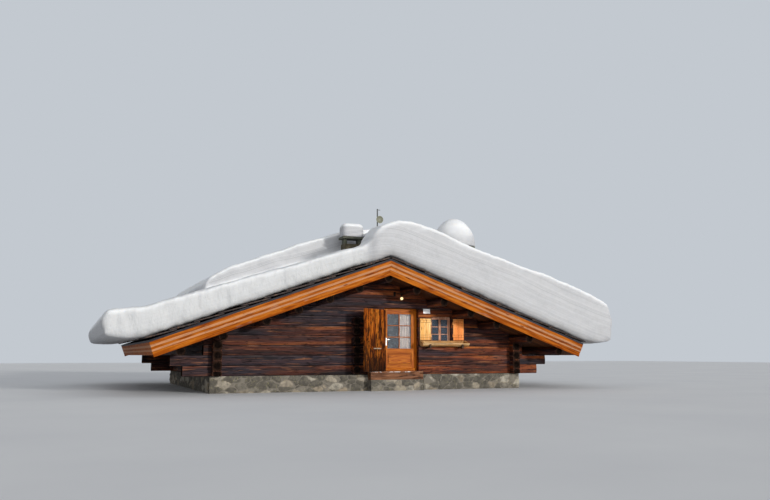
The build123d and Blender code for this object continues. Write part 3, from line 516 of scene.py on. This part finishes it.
def varnished_pine():
    # The front door: upright grain on the stiles, level grain between them.
    material, shader = new_material("varnished_pine", 0.45, Specular_IOR_Level=0.08, Coat_Weight=0.03,
                                    Coat_Roughness=0.3)
    place = place_in(material)
    x, y, z = split(place)
    low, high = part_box("front_door_leaf")
    off = abs(x - (low.x + high.x) / 2)
    upright = maths("GREATER_THAN", off, (high.x - low.x) / 2 - door_stile)
    turned = node(place.tree, "ShaderNodeMix", {"Factor": upright}, 1, data_type="VECTOR")
    for number, way in ((4, place), (5, joined(z, x, y))):
        put(turned.socket.node.inputs[number], way)
    figure = use("figure", turned, Rings=14.0, Knots=0.7)
    wood = ramp(figure["Bands"] * 0.45 + figure["Tone"] * 0.6, (0.2, "8a4004"), (0.5, "a6560a"), (0.8, "be7018"))
    wood = tinted(wood, figure["Knots"], "5e2c0d")
    wood = tinted(wood, figure["Checks"] * 0.3, "4a240c")
    groove = 0.0
    for half_width, foot, head in door_panels:
        level = abs(z - (foot + head) / 2) - (head - foot) / 2
        groove = most(fade(abs(most(off - half_width, level)), 0.011, 0.004), groove)
    wood = tinted(wood, groove * 0.75, "6b3208")
    finish(shader, wood, figure["Height"] - groove * 4.0, 0.0008)
    return material


def shutter_pine(node_name, tones):
    # Two upright boards side by side, with a joint between them and a batten near each end.
    material, shader = new_material(node_name + "_pine", Specular_IOR_Level=0.2)
    low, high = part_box(node_name)
    place = place_in(material)
    x, y, z = split(place)
    joint = fade(abs(x - (low.x + high.x) / 2), 0.004, 0.0015)
    bowed = z + drawn(place, (5.0, 5.0, 0.5), 1.0) * 0.04
    batten, rim = 0.0, 0.0
    for level in (low.z + batten_levels[0], high.z - batten_levels[1]):
        off = abs(bowed - (level + 0.02))
        batten = most(fade(off, 0.036, 0.033), batten)
        rim = most(fade(abs(off - 0.038), 0.008, 0.002), rim)
    figure = use("figure", joined(z, x, y), Rings=9.0, Knots=1.0)
    tone = figure["Bands"] * 0.3 + figure["Tone"] * 0.75
    wood = ramp(tone, (0.25, tones[0]), (0.5, tones[1]), (0.75, tones[2]))
    wood = tinted(wood, use("stain", place, Foot=1.2, Head=2.2)["Stain"] * 0.4, tones[3])
    wood = tinted(wood, figure["Knots"], "7a3d16")
    wood = tinted(wood, figure["Checks"] * 0.5, "5a3012")
    wood = tinted(wood, joint, "2c1608")
    wood = tinted(wood, rim * 0.6, "6b3612")
    finish(shader, wood, figure["Height"] + batten * 4.0 - joint * 3.0, 0.002)
    return material


def soffit_wood():
    # Dark brown boards laid down the slope, with open joints.
    material, shader = new_material("soffit_boards", 0.75, Specular_IOR_Level=0.2)
    place = place_in(material, "slope")
    figure = use("figure", place, Rings=10.0, Knots=1.0)
    joint = fade(abs(maths("FRACT", split(place)[1] / 0.19) - 0.5), 0.455, 0.48)
    wood = ramp(figure["Tone"], (0.3, "3a2012"), (0.5, "5b3219"), (0.7, "7c4a26"))
    wood = tinted(wood, figure["Bands"] * 0.3, "2c1609")
    wood = tinted(wood, figure["Knots"], "1c0d05")
    wood = tinted(wood, joint, "080402")
    finish(shader, wood, figure["Height"] * 0.3 - joint * 2.0, 0.006)
    return material


def stone(name, tones, lichen_tone, scale, depth):
    material, shader = new_material(name, 0.85)
    face = use("stone", place_in(material), Scale=scale)
    rock = ramp(face["Mottle"], (0.3, tones[0]), (0.5, tones[1]), (0.7, tones[2]))
    rock = tinted(rock, face["Specks"] * 0.4, tones[0], "MULTIPLY")
    rock = tinted(rock, face["Lichen"] * 0.6, lichen_tone)
    finish(shader, rock, face["Height"], depth)
    return material


def rubble():
    # Field stones of different greys and browns in sandy mortar.
    material, shader = new_material("plinth_rubble", 0.88)
    own_tone, from_joint, _ = split(kept_vector(material, "stone_facts"))
    face = use("stone", place_in(material), Scale=7.0)
    rock = ramp(own_tone, (0.1, "5b564d"), (0.35, "7c766b"), (0.6, "8d7f6b"), (0.9, "a39d90"))
    rock = mixed(0.7, rock, ramp(face["Mottle"], (0.3, "6a6a6a"), (0.6, "ffffff")), "MULTIPLY")
    rock = tinted(rock, face["Lichen"] * 0.5, "8a8560")
    rock = tinted(rock, fade(from_joint, 0.09, 0.04), "6f695f")
    finish(shader, rock, face["Height"], 0.008)
    return material


def snow():
    # Painted light from above: pale on the upward faces and greyer on the steep and the broken faces, with painted
    # shade at the foot over the slabs; in faint layers.
    material, shader = new_material("snow", 0.65, Subsurface_Weight=0.1, Subsurface_Radius=(0.06, 0.08, 0.11))
    place = place_in(material)
    x, y, z = split(place)
    crust = use("snow", place, Layers=0.12)
    upward = split(node(place.tree, "ShaderNodeNewGeometry", give="Normal"))[2]
    over_slabs = z - ridge_height + abs(x) * roof_fall
    foot = fade(over_slabs + clouds(place, 3.0, 3.0) * 0.25, 0.5, 0.15)
    mottle = fade(clouds(place, 9.0, 5.0, 0.7), 0.45, 0.65)
    line = fade(abs(crust["Layers"] - 0.52), 0.02, 0.004)
    broken = split(kept_vector(material, "snow_facts"))[0]
    steep_shade_and_layers = ramp(crust["Layers"], (0.35, "aeb0b3"), (0.5, "b4b5b8"), (0.65, "babbbd"))
    # Painted shade: greyer at the foot, just over the slabs.
    steep_shade_and_layers = tinted(steep_shade_and_layers, foot * 0.5, "94928f")
    steep_shade_and_layers = tinted(steep_shade_and_layers, mottle * 0.22, "9c9ea1")
    steep_shade_and_layers = tinted(steep_shade_and_layers, line * fade(upward, 0.5, 0.15) * 0.7, "8c8e92")
    steep_shade_and_layers = tinted(steep_shade_and_layers, broken * 0.6, "c6c8c9")
    pits = cells(scaled(place, (3.4, 1.0, 1.3)), 1.0, "SMOOTH_F1")
    eaten = broken * (pits + drawn(place, (7.0, 3.0, 4.0)) * 0.5)
    # Painted light: paler where the faces look upward, greyer where they are steep.
    white = tinted(steep_shade_and_layers, fade(upward, 0.05, 0.6), "e4e6e8")
    finish(shader, white, crust["Height"] + eaten * 2.4, 0.03, crust["Grains"] * 0.4 + 0.4)
    return material


def painted(name, code, dirt, roughness, metallic=0.0):
    # Even paint or bare metal with cloudy dirt.
    material, shader = new_material(name, roughness, Metallic=metallic)
    place = place_in(material)
    spots = fade(clouds(place, 30.0, 5.0, 0.7), 0.5, 0.75)
    rough = maths("ADD", spots * 0.3, roughness, clamp=True)
    finish(shader, mixed(spots * 0.7, colour(code), colour(dirt)), clouds(place, 90.0), 0.0006, rough)
    return material


def glass(name, tint):
    # Old panes: plain clear glass with a slight waviness, that throws no dark shadow.
    material, shader = new_material(name, 0.04, IOR=1.5, Transmission_Weight=0.9, Base_Color=colour(tint))
    shadow = node(material.node_tree, "ShaderNodeLightPath", give="Is Shadow Ray")
    put(shader.inputs["Alpha"], 1.0 - shadow * 0.85)
    put(shader.inputs["Normal"], relief(clouds(place_in(material), 6.0, 2.0), 0.0015))
    return material


def curtain_cloth():
    # White cotton with small faded sprigs and a plain weave.
    material, shader = new_material("curtain_cloth", 0.85, Sheen_Weight=0.2)
    place = kept_vector(material, "cloth_place")
    sprigs = fade(cells(place, 15.0), 0.3, 0.14)
    weave = node(place.tree, "ShaderNodeTexChecker", {"Vector": place, "Scale": 900.0}, "Fac")
    finish(shader, mixed(sprigs * 0.75, colour("ffe4cf"), colour("8c3c30")), weave, 0.0002)
    return material


def bulb_glass():
    material, shader = new_material("bulb_glass", 0.1, Transmission_Weight=0.3, Emission_Strength=0.7,
                                    Emission_Color=colour("ffe9b8"))
    warm = ramp(clouds(place_in(material), 20.0), (0.3, "fff1c8"), (0.7, "ffe3a0"))
    put(shader.inputs["Base Color"], warm)
    return material


materials = {
    "log_x": old_log("old_logs_across", "X"),
    "log_y": old_log("old_logs_back", "Y"),
    "purlin": old_log("purlin_wood", "Y", coursed=False),
    "log_end": log_end(),
    "barge": barge_pine(),
    "left_shutter": shutter_pine("left_shutter", ("e8a04c", "f4b868", "fbd290", "b0682c")),
    "right_shutter": shutter_pine("right_shutter", ("ec8438", "ff9e50", "ffb46c", "a85a24")),
    "window": plain_wood("window_pine", "Z", ("a8684a", "cb8c6a", "e6b498"), "5a3626", 12.0, 0.5),
    "trough": plain_wood("trough_log", "X", ("a8713c", "d3a163", "ecc896"), "5c3418", 8.0, 1.0, 0.006),
    "step": step_wood(),
    "bracket": plain_wood("trough_brackets", "X", ("2a1b14", "46301f", "6b4c33"), "140c08", 9.0, 1.0, 0.006),
    "floor": plain_wood("floor_boards", "Y", ("5c3a1e", "7d5430", "9a6d42"), "2c180b"),
    "pull": plain_wood("pull_wood", "X", ("8a7a66", "b5a68f", "d2c7b4"), "4a3a2a", 10.0, 0.3),
    "deck": plain_wood("roof_boards", "slope", ("14151d", "1f212c", "2c2b33"), "0a0a0e", 10.0, 0.6),
    "rafter": plain_wood("rafters", "slope", ("2c1a10", "452a18", "5d3b22"), "120a05", 10.0, 0.6),
    "planks": old_planks(),
    "door": varnished_pine(),
    "soffit": soffit_wood(),
    "slab": stone("roof_slabs", ("201a1a", "382e2c", "5e4e44"), "6e4a34", 7.0, 0.006),
    "plinth": stone("plinth_stone", ("4a4843", "77726a", "a29c90"), "8f8a6a", 3.5, 0.03),
    "rubble": rubble(),
    "chimney": stone("chimney_stone", ("302b20", "544c38", "766c54"), "4c5040", 6.0, 0.012),
    "cap": stone("cap_stone", ("383a30", "525448", "6a6c5c"), "464c3c", 6.0, 0.008),
    "iron": painted("wrought_iron", "1d1a18", "3b2418", 0.55, 0.8),
    "steel": painted("door_steel", "cfd0cf", "8b8b88", 0.3, 0.9),
    "mast": painted("mast_steel", "4b4d4c", "2d2b28", 0.5, 0.7),
    "dish": painted("dish_paint", "6e6f5e", "4a4938", 0.5),
    "enamel": painted("plate_enamel", "ffffff", "e6e2da", 0.35),
    "door_glass": glass("door_glass", "aab2ba"),
    "window_glass": glass("window_glass", "8090a4"),
    "curtain": curtain_cloth(),
    "bulb": bulb_glass(),
    "snow": snow(),
}

node_finish = {
    "log_x": "front_wall_left front_wall_right front_gable back_wall back_gable",
    "log_y": "left_wall right_wall",
    "purlin": "cross_wall_log_ends ridge_purlin left_purlins right_purlins",
    "plinth": "plinth_front plinth_sides plinth_back",
    "floor": "floor_boards",
    "step": "door_step",
    "bracket": "trough_brackets",
    "rafter": "left_rafters right_rafters",
    "barge": "upper_bargeboards middle_bargeboards lower_bargeboards eave_boards",
    "soffit": "left_soffit_boards right_soffit_boards",
    "deck": "left_roof_deck right_roof_deck",
    "slab": "left_roof_slabs right_roof_slabs",
    "door": "front_door_leaf door_frame",
    "door_glass": "front_door_glass",
    "steel": "front_door_handle curtain_rod",
    "curtain": "door_curtain",
    "planks": "outer_door_planks outer_door_battens",
    "pull": "outer_door_pull",
    "iron": "hinge_pins wall_lamp_arm",
    "window": "window_frames window_casements",
    "window_glass": "window_glass",
    "left_shutter": "left_shutter",
    "right_shutter": "right_shutter",
    "trough": "flower_trough",
    "bulb": "lamp_bulb",
    "enamel": "blank_plate",
    "chimney": "left_chimney_stack right_chimney_stack",
    "cap": "left_chimney_slab right_chimney_slab",
    "mast": "dish_mast",
    "dish": "small_dish",
    "snow": "left_thin_snow left_thick_snow right_roof_snow left_chimney_snow right_chimney_snow",
}


def dress(piece, finish_name):
    piece.data.materials.clear()
    piece.data.materials.append(materials[finish_name])


for finish_name, names in node_finish.items():
    for name in names.split():
        dress(nodes[name], finish_name)


# Pieces

def new_piece(name, mesh, finish_name, body, smooth=True):
    piece = bpy.data.objects.new(name, mesh)
    bpy.context.scene.collection.objects.link(piece)
    dress(piece, finish_name)
    mesh.polygons.foreach_set("use_smooth", [smooth] * len(mesh.polygons))
    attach(piece, body)
    return piece


def mesh_from(name, points, faces):
    mesh = bpy.data.meshes.new(name)
    mesh.from_pydata([tuple(p) for p in points], [], faces)
    mesh.validate()
    mesh.update()
    return mesh


def grid_faces(first, columns, rows):
    # Squares between the points of a grid, row by row.
    width = columns + 1
    return [(a, a + 1, a + width + 1, a + width) for row in range(rows)
            for a in range(first + row * width, first + row * width + columns)]


def ring_faces(first, count, levels):
    # Squares between rings of points that follow each other.
    pairs = [(first + level * count + n, first + level * count + (n + 1) % count)
             for level in range(levels) for n in range(count)]
    return [(a, b, b + count, a + count) for a, b in pairs]


def turn_over(faces, start):
    faces[start:] = [tuple(reversed(face)) for face in faces[start:]]


def keep_vectors(mesh, name, vectors):
    # Stores a vector for each vertex, for the material to read.
    attribute = mesh.attributes.new(name, "FLOAT_VECTOR", "POINT")
    attribute.data.foreach_set("vector", [value for vector in vectors for value in vector])


def remeshed(name, node_names, voxel, rounds):
    # A rounded copy of CAD solids as one skin, in even small faces.
    grouped = bmesh.new()
    for node_name in node_names:
        grouped.from_mesh(nodes[node_name].data)
    mesh = bpy.data.meshes.new(name + "_source")
    grouped.to_mesh(mesh)
    grouped.free()
    source = bpy.data.objects.new(name + "_source", mesh)
    bpy.context.scene.collection.objects.link(source)
    weld = source.modifiers.new("weld", "WELD")
    weld.merge_threshold = 0.0005
    remesh = source.modifiers.new("remesh", "REMESH")
    remesh.mode = "VOXEL"
    remesh.voxel_size = voxel
    smooth = source.modifiers.new("smooth", "SMOOTH")
    smooth.factor = 0.5
    smooth.iterations = rounds
    bpy.context.view_layer.update()
    made = source.evaluated_get(bpy.context.evaluated_depsgraph_get())
    mesh = bpy.data.meshes.new_from_object(made)
    bpy.data.objects.remove(source)
    mesh.name = name
    return mesh


def drift(point, size, seed):
    return noise.noise((point + Vector((seed, -seed, 2.0 * seed))) / size)


def rough_up(mesh, reach, size, seed, low, high):
    # Moves each vertex along its normal by soft noise, inside the given corners.
    mesh.update()
    normals = [v.normal.copy() for v in mesh.vertices]
    for vertex, normal in zip(mesh.vertices, normals):
        push = drift(vertex.co, size, seed) + 0.4 * drift(vertex.co, size / 3, seed + 5)
        moved = vertex.co + normal * push * reach
        vertex.co = Vector([min(max(moved[i], low[i]), high[i]) for i in range(3)])


def smooth_step(share):
    share = min(max(share, 0.0), 1.0)
    return share * share * (3.0 - 2.0 * share)


def set_back_thin_front(mesh):
    # Left of the ridge mass the thin layer's face has melted back from the verge.
    for vertex in mesh.vertices:
        x, y, z = vertex.co
        near = smooth_step((snow_front_zone - (y + verge)) / snow_front_zone)
        left = smooth_step((-0.45 - x) / 0.5)
        worn = noise.noise(Vector((x * 1.6, 0.0, z * 1.2))) * 0.5 + 0.6
        vertex.co.y += near * left * (snow_set_back * (0.6 + 0.4 * worn) - 0.05 * smooth_step((-2.0 - x) / 4.0))


def broken_share(vertex):
    # How far a point of the snow lies on the broken face over the front verge, left of the ridge.
    facing = max(-vertex.normal.y, 0.0) * smooth_step((-0.55 - vertex.co.x) / 0.4)
    return facing * smooth_step((snow_front_zone - vertex.co.y - verge) / 0.5)


def build_snow():
    sets = [("roof_snow_drifts", ["left_thin_snow", "left_thick_snow", "right_roof_snow"], snow_voxel, 9, 0.04),
            ("left_chimney_snow_drift", ["left_chimney_snow"], cap_voxel, 6, 0.012),
            ("right_chimney_snow_drift", ["right_chimney_snow"], cap_voxel, 6, 0.015)]
    for seed, (name, node_names, voxel, rounds, reach) in enumerate(sets):
        mesh = remeshed(name, node_names, voxel, rounds)
        boxes = [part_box(node_name) for node_name in node_names]
        low = Vector([min(box[0][i] for box in boxes) - snow_room for i in range(3)])
        high = Vector([max(box[1][i] for box in boxes) + snow_room for i in range(3)])
        if len(node_names) > 1:
            set_back_thin_front(mesh)
        rough_up(mesh, reach, 0.7, seed, low, high)
        keep_vectors(mesh, "snow_facts", [(broken_share(vertex), 0.0, 0.0) for vertex in mesh.vertices])
        piece = new_piece(name, mesh, "snow", "root")
        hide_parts(*node_names)


def rough_outline(length, width, chance):
    # Corner and mid-edge points of a split stone plate, in its own plane.
    points = []
    for u, v in ((-1, -1), (0, -1), (1, -1), (1, 0), (1, 1), (0, 1), (-1, 1), (-1, 0)):
        x = u * (length / 2 - chance.uniform(0, 0.035))
        y = v * (width / 2 - chance.uniform(0.002, 0.03))
        points.append((x, y))
    return points


def stone_plate(points, faces, place, length, width, thickness, chance):
    # One slab: a rough outline with a slightly smaller lower and upper face.
    first = len(points)
    outline = rough_outline(length, width, chance)
    for depth, inset in ((-0.5, 0.93), (-0.25, 1.0), (0.3, 1.0), (0.5, 0.95)):
        for x, y in outline:
            lift = chance.uniform(-0.002, 0.002)
            points.append(place @ Vector((x * inset, y * inset, depth * thickness + lift)))
    count = len(outline)
    faces += ring_faces(first, count, 3)
    faces.append(tuple(reversed(range(first, first + count))))
    faces.append(tuple(range(first + 3 * count, first + 4 * count)))


def build_slabs():
    # Lapped courses of split stone, from the eave up to the ridge.
    slope_length = eave / math.cos(pitch)
    exposure = slope_length / slab_courses
    length = exposure + slab_lap
    tilt = pitch - slab_thickness * 0.9 / exposure
    for name, side in (("left_roof_slabs", -1), ("right_roof_slabs", 1)):
        chance = random.Random(11 + side)
        points, faces = [], []
        for row in range(slab_courses):
            y = -verge - 0.02
            while y < verge - narrowest_slab:
                width = min(slab_width * chance.uniform(0.6, 1.3), verge + 0.04 - y)
                foot = slope_length + slab_overhang - row * exposure + chance.uniform(-0.03, 0.03)
                down = max(foot - length / 2, length / 2 + 0.01)
                depth = slab_layer - slab_depth + chance.uniform(-0.006, 0.006)
                level_way = down * math.cos(pitch)
                spot = (side * level_way, y + width / 2, roof_top(level_way, depth))
                place = Matrix.Translation(spot) @ Matrix.Rotation(side * tilt, 4, "Y")
                thickness = slab_thickness * chance.uniform(0.7, 1.15)
                stone_plate(points, faces, place, length, width + 0.01, thickness, chance)
                y += width
        mesh = mesh_from(name + "_laid", points, faces)
        piece = new_piece(name + "_laid", mesh, "slab", "root", smooth=False)
        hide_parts(name)


def end_cap(points, faces, places, centre, across, up, out, outline, dome=0.004):
    # The sawn end of a log: rings of points that follow its outline and dome slightly outward.
    first = len(points)
    count = len(outline)
    shares = (1.0, 0.94, 0.7, 0.4)
    for share in shares:
        rise = dome * (1 - share ** 2) + (0.0 if share == 1.0 else 0.003)
        for x, y in outline:
            points.append(centre + across * x * share + up * y * share + out * rise)
            places.append((x * share, y * share, centre.x + centre.z))
    points.append(centre + out * (dome + 0.003))
    places.append((0.0, 0.0, centre.x + centre.z))
    faces += ring_faces(first, count, len(shares) - 1)
    last = first + (len(shares) - 1) * count
    faces += [(last + number, last + (number + 1) % count, last + count) for number in range(count)]


def finish_caps(name, points, faces, places):
    mesh = mesh_from(name, points, faces)
    keep_vectors(mesh, "end_place", places)
    new_piece(name, mesh, "log_end", "root", smooth=False)


def rubble_face(points, faces, facts, corner, along, out, length, height):
    # A wall face of rounded field stones: a grid pushed out by the stones' own cells.
    columns = math.ceil(length / rubble_grid)
    rows = math.ceil(height / rubble_grid)
    faces += grid_faces(len(points), columns, rows)
    for row in range(rows + 1):
        for column in range(columns + 1):
            u, v = column / columns * length, row / rows * height
            spot = corner + along * u + Vector((0, 0, v))
            cell = Vector((u / stone_length, v / stone_height, corner.x + corner.y))
            cell += Vector((1, 1, 0)) * 0.2 * noise.noise(cell * 1.7)
            distances, centres = noise.voronoi(cell)
            joint = distances[1] - distances[0]
            rise = min(max((joint - 0.04) / 0.3, 0.0), 1.0)
            rise = rise * (2.0 - rise) * min(1.0, 12.0 * min(v, height - v) + 0.1)
            lump = 0.006 * noise.noise(spot * 9.0)
            points.append(spot + out * (0.002 + rise * (stone_reach + lump)))
            facts.append((noise.cell(centres[0] * 3.1), joint, 0.0))


def build_rubble():
    # Field stones on the four walls of the plinth, and on the three free sides of the step's bed.
    points, faces, facts = [], [], []
    low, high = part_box("plinth_sides")
    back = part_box("plinth_back")[1].y
    bed_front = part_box("plinth_front")[0].y
    step_low, step_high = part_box("door_step")
    across, back_way, _ = axes
    wide, deep = high.x - low.x, 2 * back
    step_wide, step_deep = step_high.x - step_low.x, -back - bed_front
    for x, y, along, out, length, height in (
            (low.x, -back, across, -back_way, wide, plinth_top),
            (high.x, back, -across, back_way, wide, plinth_top),
            (low.x, back, -back_way, -across, deep, plinth_top),
            (high.x, -back, back_way, across, deep, plinth_top),
            (step_low.x, bed_front, across, -back_way, step_wide, step_low.z),
            (step_low.x, -back, -back_way, -across, step_deep, step_low.z),
            (step_high.x, bed_front, back_way, across, step_deep, step_low.z)):
        rubble_face(points, faces, facts, Vector((x, y, 0)), along, out, length, height)
    mesh = mesh_from("rubble_plinth", points, faces)
    keep_vectors(mesh, "stone_facts", facts)
    new_piece("rubble_plinth", mesh, "rubble", "root")


def tail_outline(height):
    # The hewn end of a wall log, with its corners cut.
    half = log_thickness / 2
    right = [(half - 0.018, -height / 2 + 0.005), (half + 0.006, -height / 2 + 0.04), (half + 0.016, 0.0),
             (half + 0.006, height / 2 - 0.04), (half - 0.018, height / 2 - 0.005)]
    return right + [(-x, z) for x, z in reversed(right)]


def log_end_level(node_name, axis, side, height):
    # How far out a CAD wall's flat log end stands at one height.
    mesh = nodes[node_name].data
    levels = []
    for face in mesh.polygons:
        heights = [mesh.vertices[corner].co.z for corner in face.vertices]
        if face.normal[axis] * side > 0.99 and min(heights) <= height <= max(heights):
            levels.append(side * face.center[axis])
    return side * max(levels)


def build_tail_ends():
    # End grain on the crossed corners: side logs to the front and back, gable logs to the sides.
    points, faces, places = [], [], []
    across, back_way, up = axes
    side_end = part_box("left_wall")[1].y
    for x_side in (-1, 1):
        for y_side in (-1, 1):
            start = len(faces)
            for number in range(side_log_courses):
                high = (number + 0.5) * course_height
                low = max(high - course_height, 0.0)
                centre = Vector((x_side * wall_x, y_side * side_end, plinth_top + (low + high) / 2))
                end_cap(points, faces, places, centre, across, up, back_way * y_side, tail_outline(high - low))
            if y_side > 0:
                turn_over(faces, start)
            wall = "back_wall" if y_side > 0 else "front_wall_right" if x_side > 0 else "front_wall_left"
            start = len(faces)
            for number in range(gable_log_courses):
                height = plinth_top + (number + 0.5) * course_height
                centre = Vector((log_end_level(wall, 0, x_side, height), y_side * wall_y, height))
                end_cap(points, faces, places, centre, back_way, up, across * x_side, tail_outline(course_height))
            if x_side < 0:
                turn_over(faces, start)
    finish_caps("corner_end_grain", points, faces, places)


def loops_of(node_name, axis, level, side):
    # Outlines of a CAD node's flat ends at one level, as (centre, points) found from its mesh.
    grouped = bmesh.new()
    grouped.from_mesh(nodes[node_name].data)
    bmesh.ops.remove_doubles(grouped, verts=grouped.verts, dist=0.0005)
    faces = [face for face in grouped.faces
             if face.normal[axis] * side > 0.99 and abs(face.calc_center_median()[axis] - level) < 0.002]
    found = []
    u, v = [i for i in range(3) if i != axis]
    while faces:
        patch = [faces.pop(0)]
        for face in patch:
            for edge in face.edges:
                for other in edge.link_faces:
                    if other in faces:
                        faces.remove(other)
                        patch.append(other)
        corners = [Vector(c) for c in sorted({vertex.co.to_tuple(4) for face in patch for vertex in face.verts})]
        centre = sum(corners, Vector()) / len(corners)
        corners.sort(key=lambda c: math.atan2(c[v] - centre[v], c[u] - centre[u]))
        found.append((centre, [(c[u] - centre[u], c[v] - centre[v]) for c in corners]))
    grouped.free()
    return found


def build_end_caps(name, wanted):
    # Caps over flat log ends along Y: wanted lists node and side.
    points, faces, places = [], [], []
    across, back_way, up = axes
    for node_name, side in wanted:
        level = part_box(node_name)[1 if side > 0 else 0].y
        start = len(faces)
        for centre, outline in loops_of(node_name, 1, level, side):
            end_cap(points, faces, places, centre, across, up, back_way * side, outline)
        if side > 0:
            turn_over(faces, start)
    finish_caps(name, points, faces, places)


def build_weather_bar():
    # A sloped pine bar across the foot of the front door, that throws the water off the sill.
    low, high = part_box("front_door_leaf")
    outline = ((0.002, 0.01), (-0.02, 0.01), (-0.026, 0.018), (-0.026, 0.046), (-0.006, 0.07), (0.002, 0.07))
    count = len(outline)
    points = [(x, low.y + y, low.z + z) for x in (low.x + 0.03, high.x - 0.03) for y, z in outline]
    faces = ring_faces(0, count, 1) + [tuple(reversed(range(count))), tuple(range(count, 2 * count))]
    mesh = mesh_from("door_weather_bar", points, faces)
    new_piece("door_weather_bar", mesh, "door", "front_door", smooth=False)


def build_curtain():
    # A gathered half curtain that hangs from its rod in soft folds.
    low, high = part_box("door_curtain")
    middle = (low.y + high.y) / 2
    width = high.x - low.x
    tall = high.z - low.z
    points, places = [], []
    for row in range(curtain_rows + 1):
        share = row / curtain_rows
        depth = 0.006 + 0.006 * share
        along = 0.0
        before = None
        for column in range(curtain_columns + 1):
            u = column / curtain_columns
            swing = math.sin(2 * math.pi * curtain_folds * u + 0.5 * math.sin(5 * u + share))
            point = Vector((low.x + u * width, middle + depth * swing, high.z - share * tall))
            if before is not None:
                along += (point - before).length
            before = point
            points.append(point)
            places.append((along, 0.0, share * tall))
    mesh = mesh_from("gathered_curtain", points, grid_faces(0, curtain_columns, curtain_rows))
    keep_vectors(mesh, "cloth_place", places)
    piece = new_piece("gathered_curtain", mesh, "curtain", "front_door")
    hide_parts("door_curtain")


# Light, floor and camera

def build_floor():
    mesh = mesh_from("floor", [(-90, -90, 0), (90, -90, 0), (90, 90, 0), (-90, 90, 0)], [(0, 1, 2, 3)])
    floor = bpy.data.objects.new("floor", mesh)
    bpy.context.scene.collection.objects.link(floor)
    material, shader = new_material("pale_floor", 0.9)
    put(shader.inputs["Base Color"], ramp(clouds(place_in(material), 0.3), (0.3, "d3d5d8"), (0.7, "d9dbdd")))
    mesh.materials.append(material)


def build_world():
    # Soft white light all round, and a pale blue-grey backdrop where the world itself is seen.
    world = bpy.data.worlds.new("studio")
    bpy.context.scene.world = world
    world.use_nodes = True
    tree = world.node_tree
    tree.nodes.clear()
    paths = outputs_of(node(tree, "ShaderNodeLightPath"))
    seen = most(paths["Is Camera Ray"], most(paths["Is Glossy Ray"], paths["Is Transmission Ray"]))
    light = node(tree, "ShaderNodeBackground", {"Color": colour("f2f5fa"), "Strength": 0.46})
    back = node(tree, "ShaderNodeBackground", {"Color": colour("c3c9d0"), "Strength": 1.0})
    both = node(tree, "ShaderNodeMixShader", {0: seen, 1: light, 2: back})
    put(tree.nodes.new("ShaderNodeOutputWorld").inputs["Surface"], both)


def build_lamp(name, energy, softness, tone, height_turn, turn):
    # A far lamp; its angles are in degrees.
    lamp = bpy.data.lights.new(name, "SUN")
    lamp.energy = energy
    lamp.angle = math.radians(softness)
    lamp.color = tone
    holder = bpy.data.objects.new(name, lamp)
    holder.rotation_euler = (math.radians(height_turn), 0, math.radians(turn))
    bpy.context.scene.collection.objects.link(holder)


def build_camera():
    lens = bpy.data.cameras.new("camera")
    lens.lens = lens_length
    lens.sensor_width = sensor_width
    lens.clip_end = 300
    camera = bpy.data.objects.new("camera", lens)
    camera.location = camera_place
    camera.rotation_euler = (math.radians(90 + camera_rise), 0, math.radians(camera_turn))
    bpy.context.scene.collection.objects.link(camera)
    bpy.context.scene.camera = camera


build_snow()
build_slabs()
build_end_caps("purlin_ends", [(name, side) for name in ("ridge_purlin", "left_purlins", "right_purlins")
                               for side in (-1, 1)])
build_end_caps("cross_wall_end_grain", [("cross_wall_log_ends", -1)])
build_tail_ends()
build_rubble()
build_weather_bar()
build_curtain()
build_floor()
build_world()
build_lamp("key", 2.3, 6, (1.0, 0.97, 0.92), 79.5, 25)
# The second lamp, very soft and low in front, reaches in under the eaves.
build_lamp("fill", 1.2, 70, (1.0, 0.98, 0.96), 84, -12)
build_camera()
bpy.context.scene.view_settings.view_transform = "Standard"
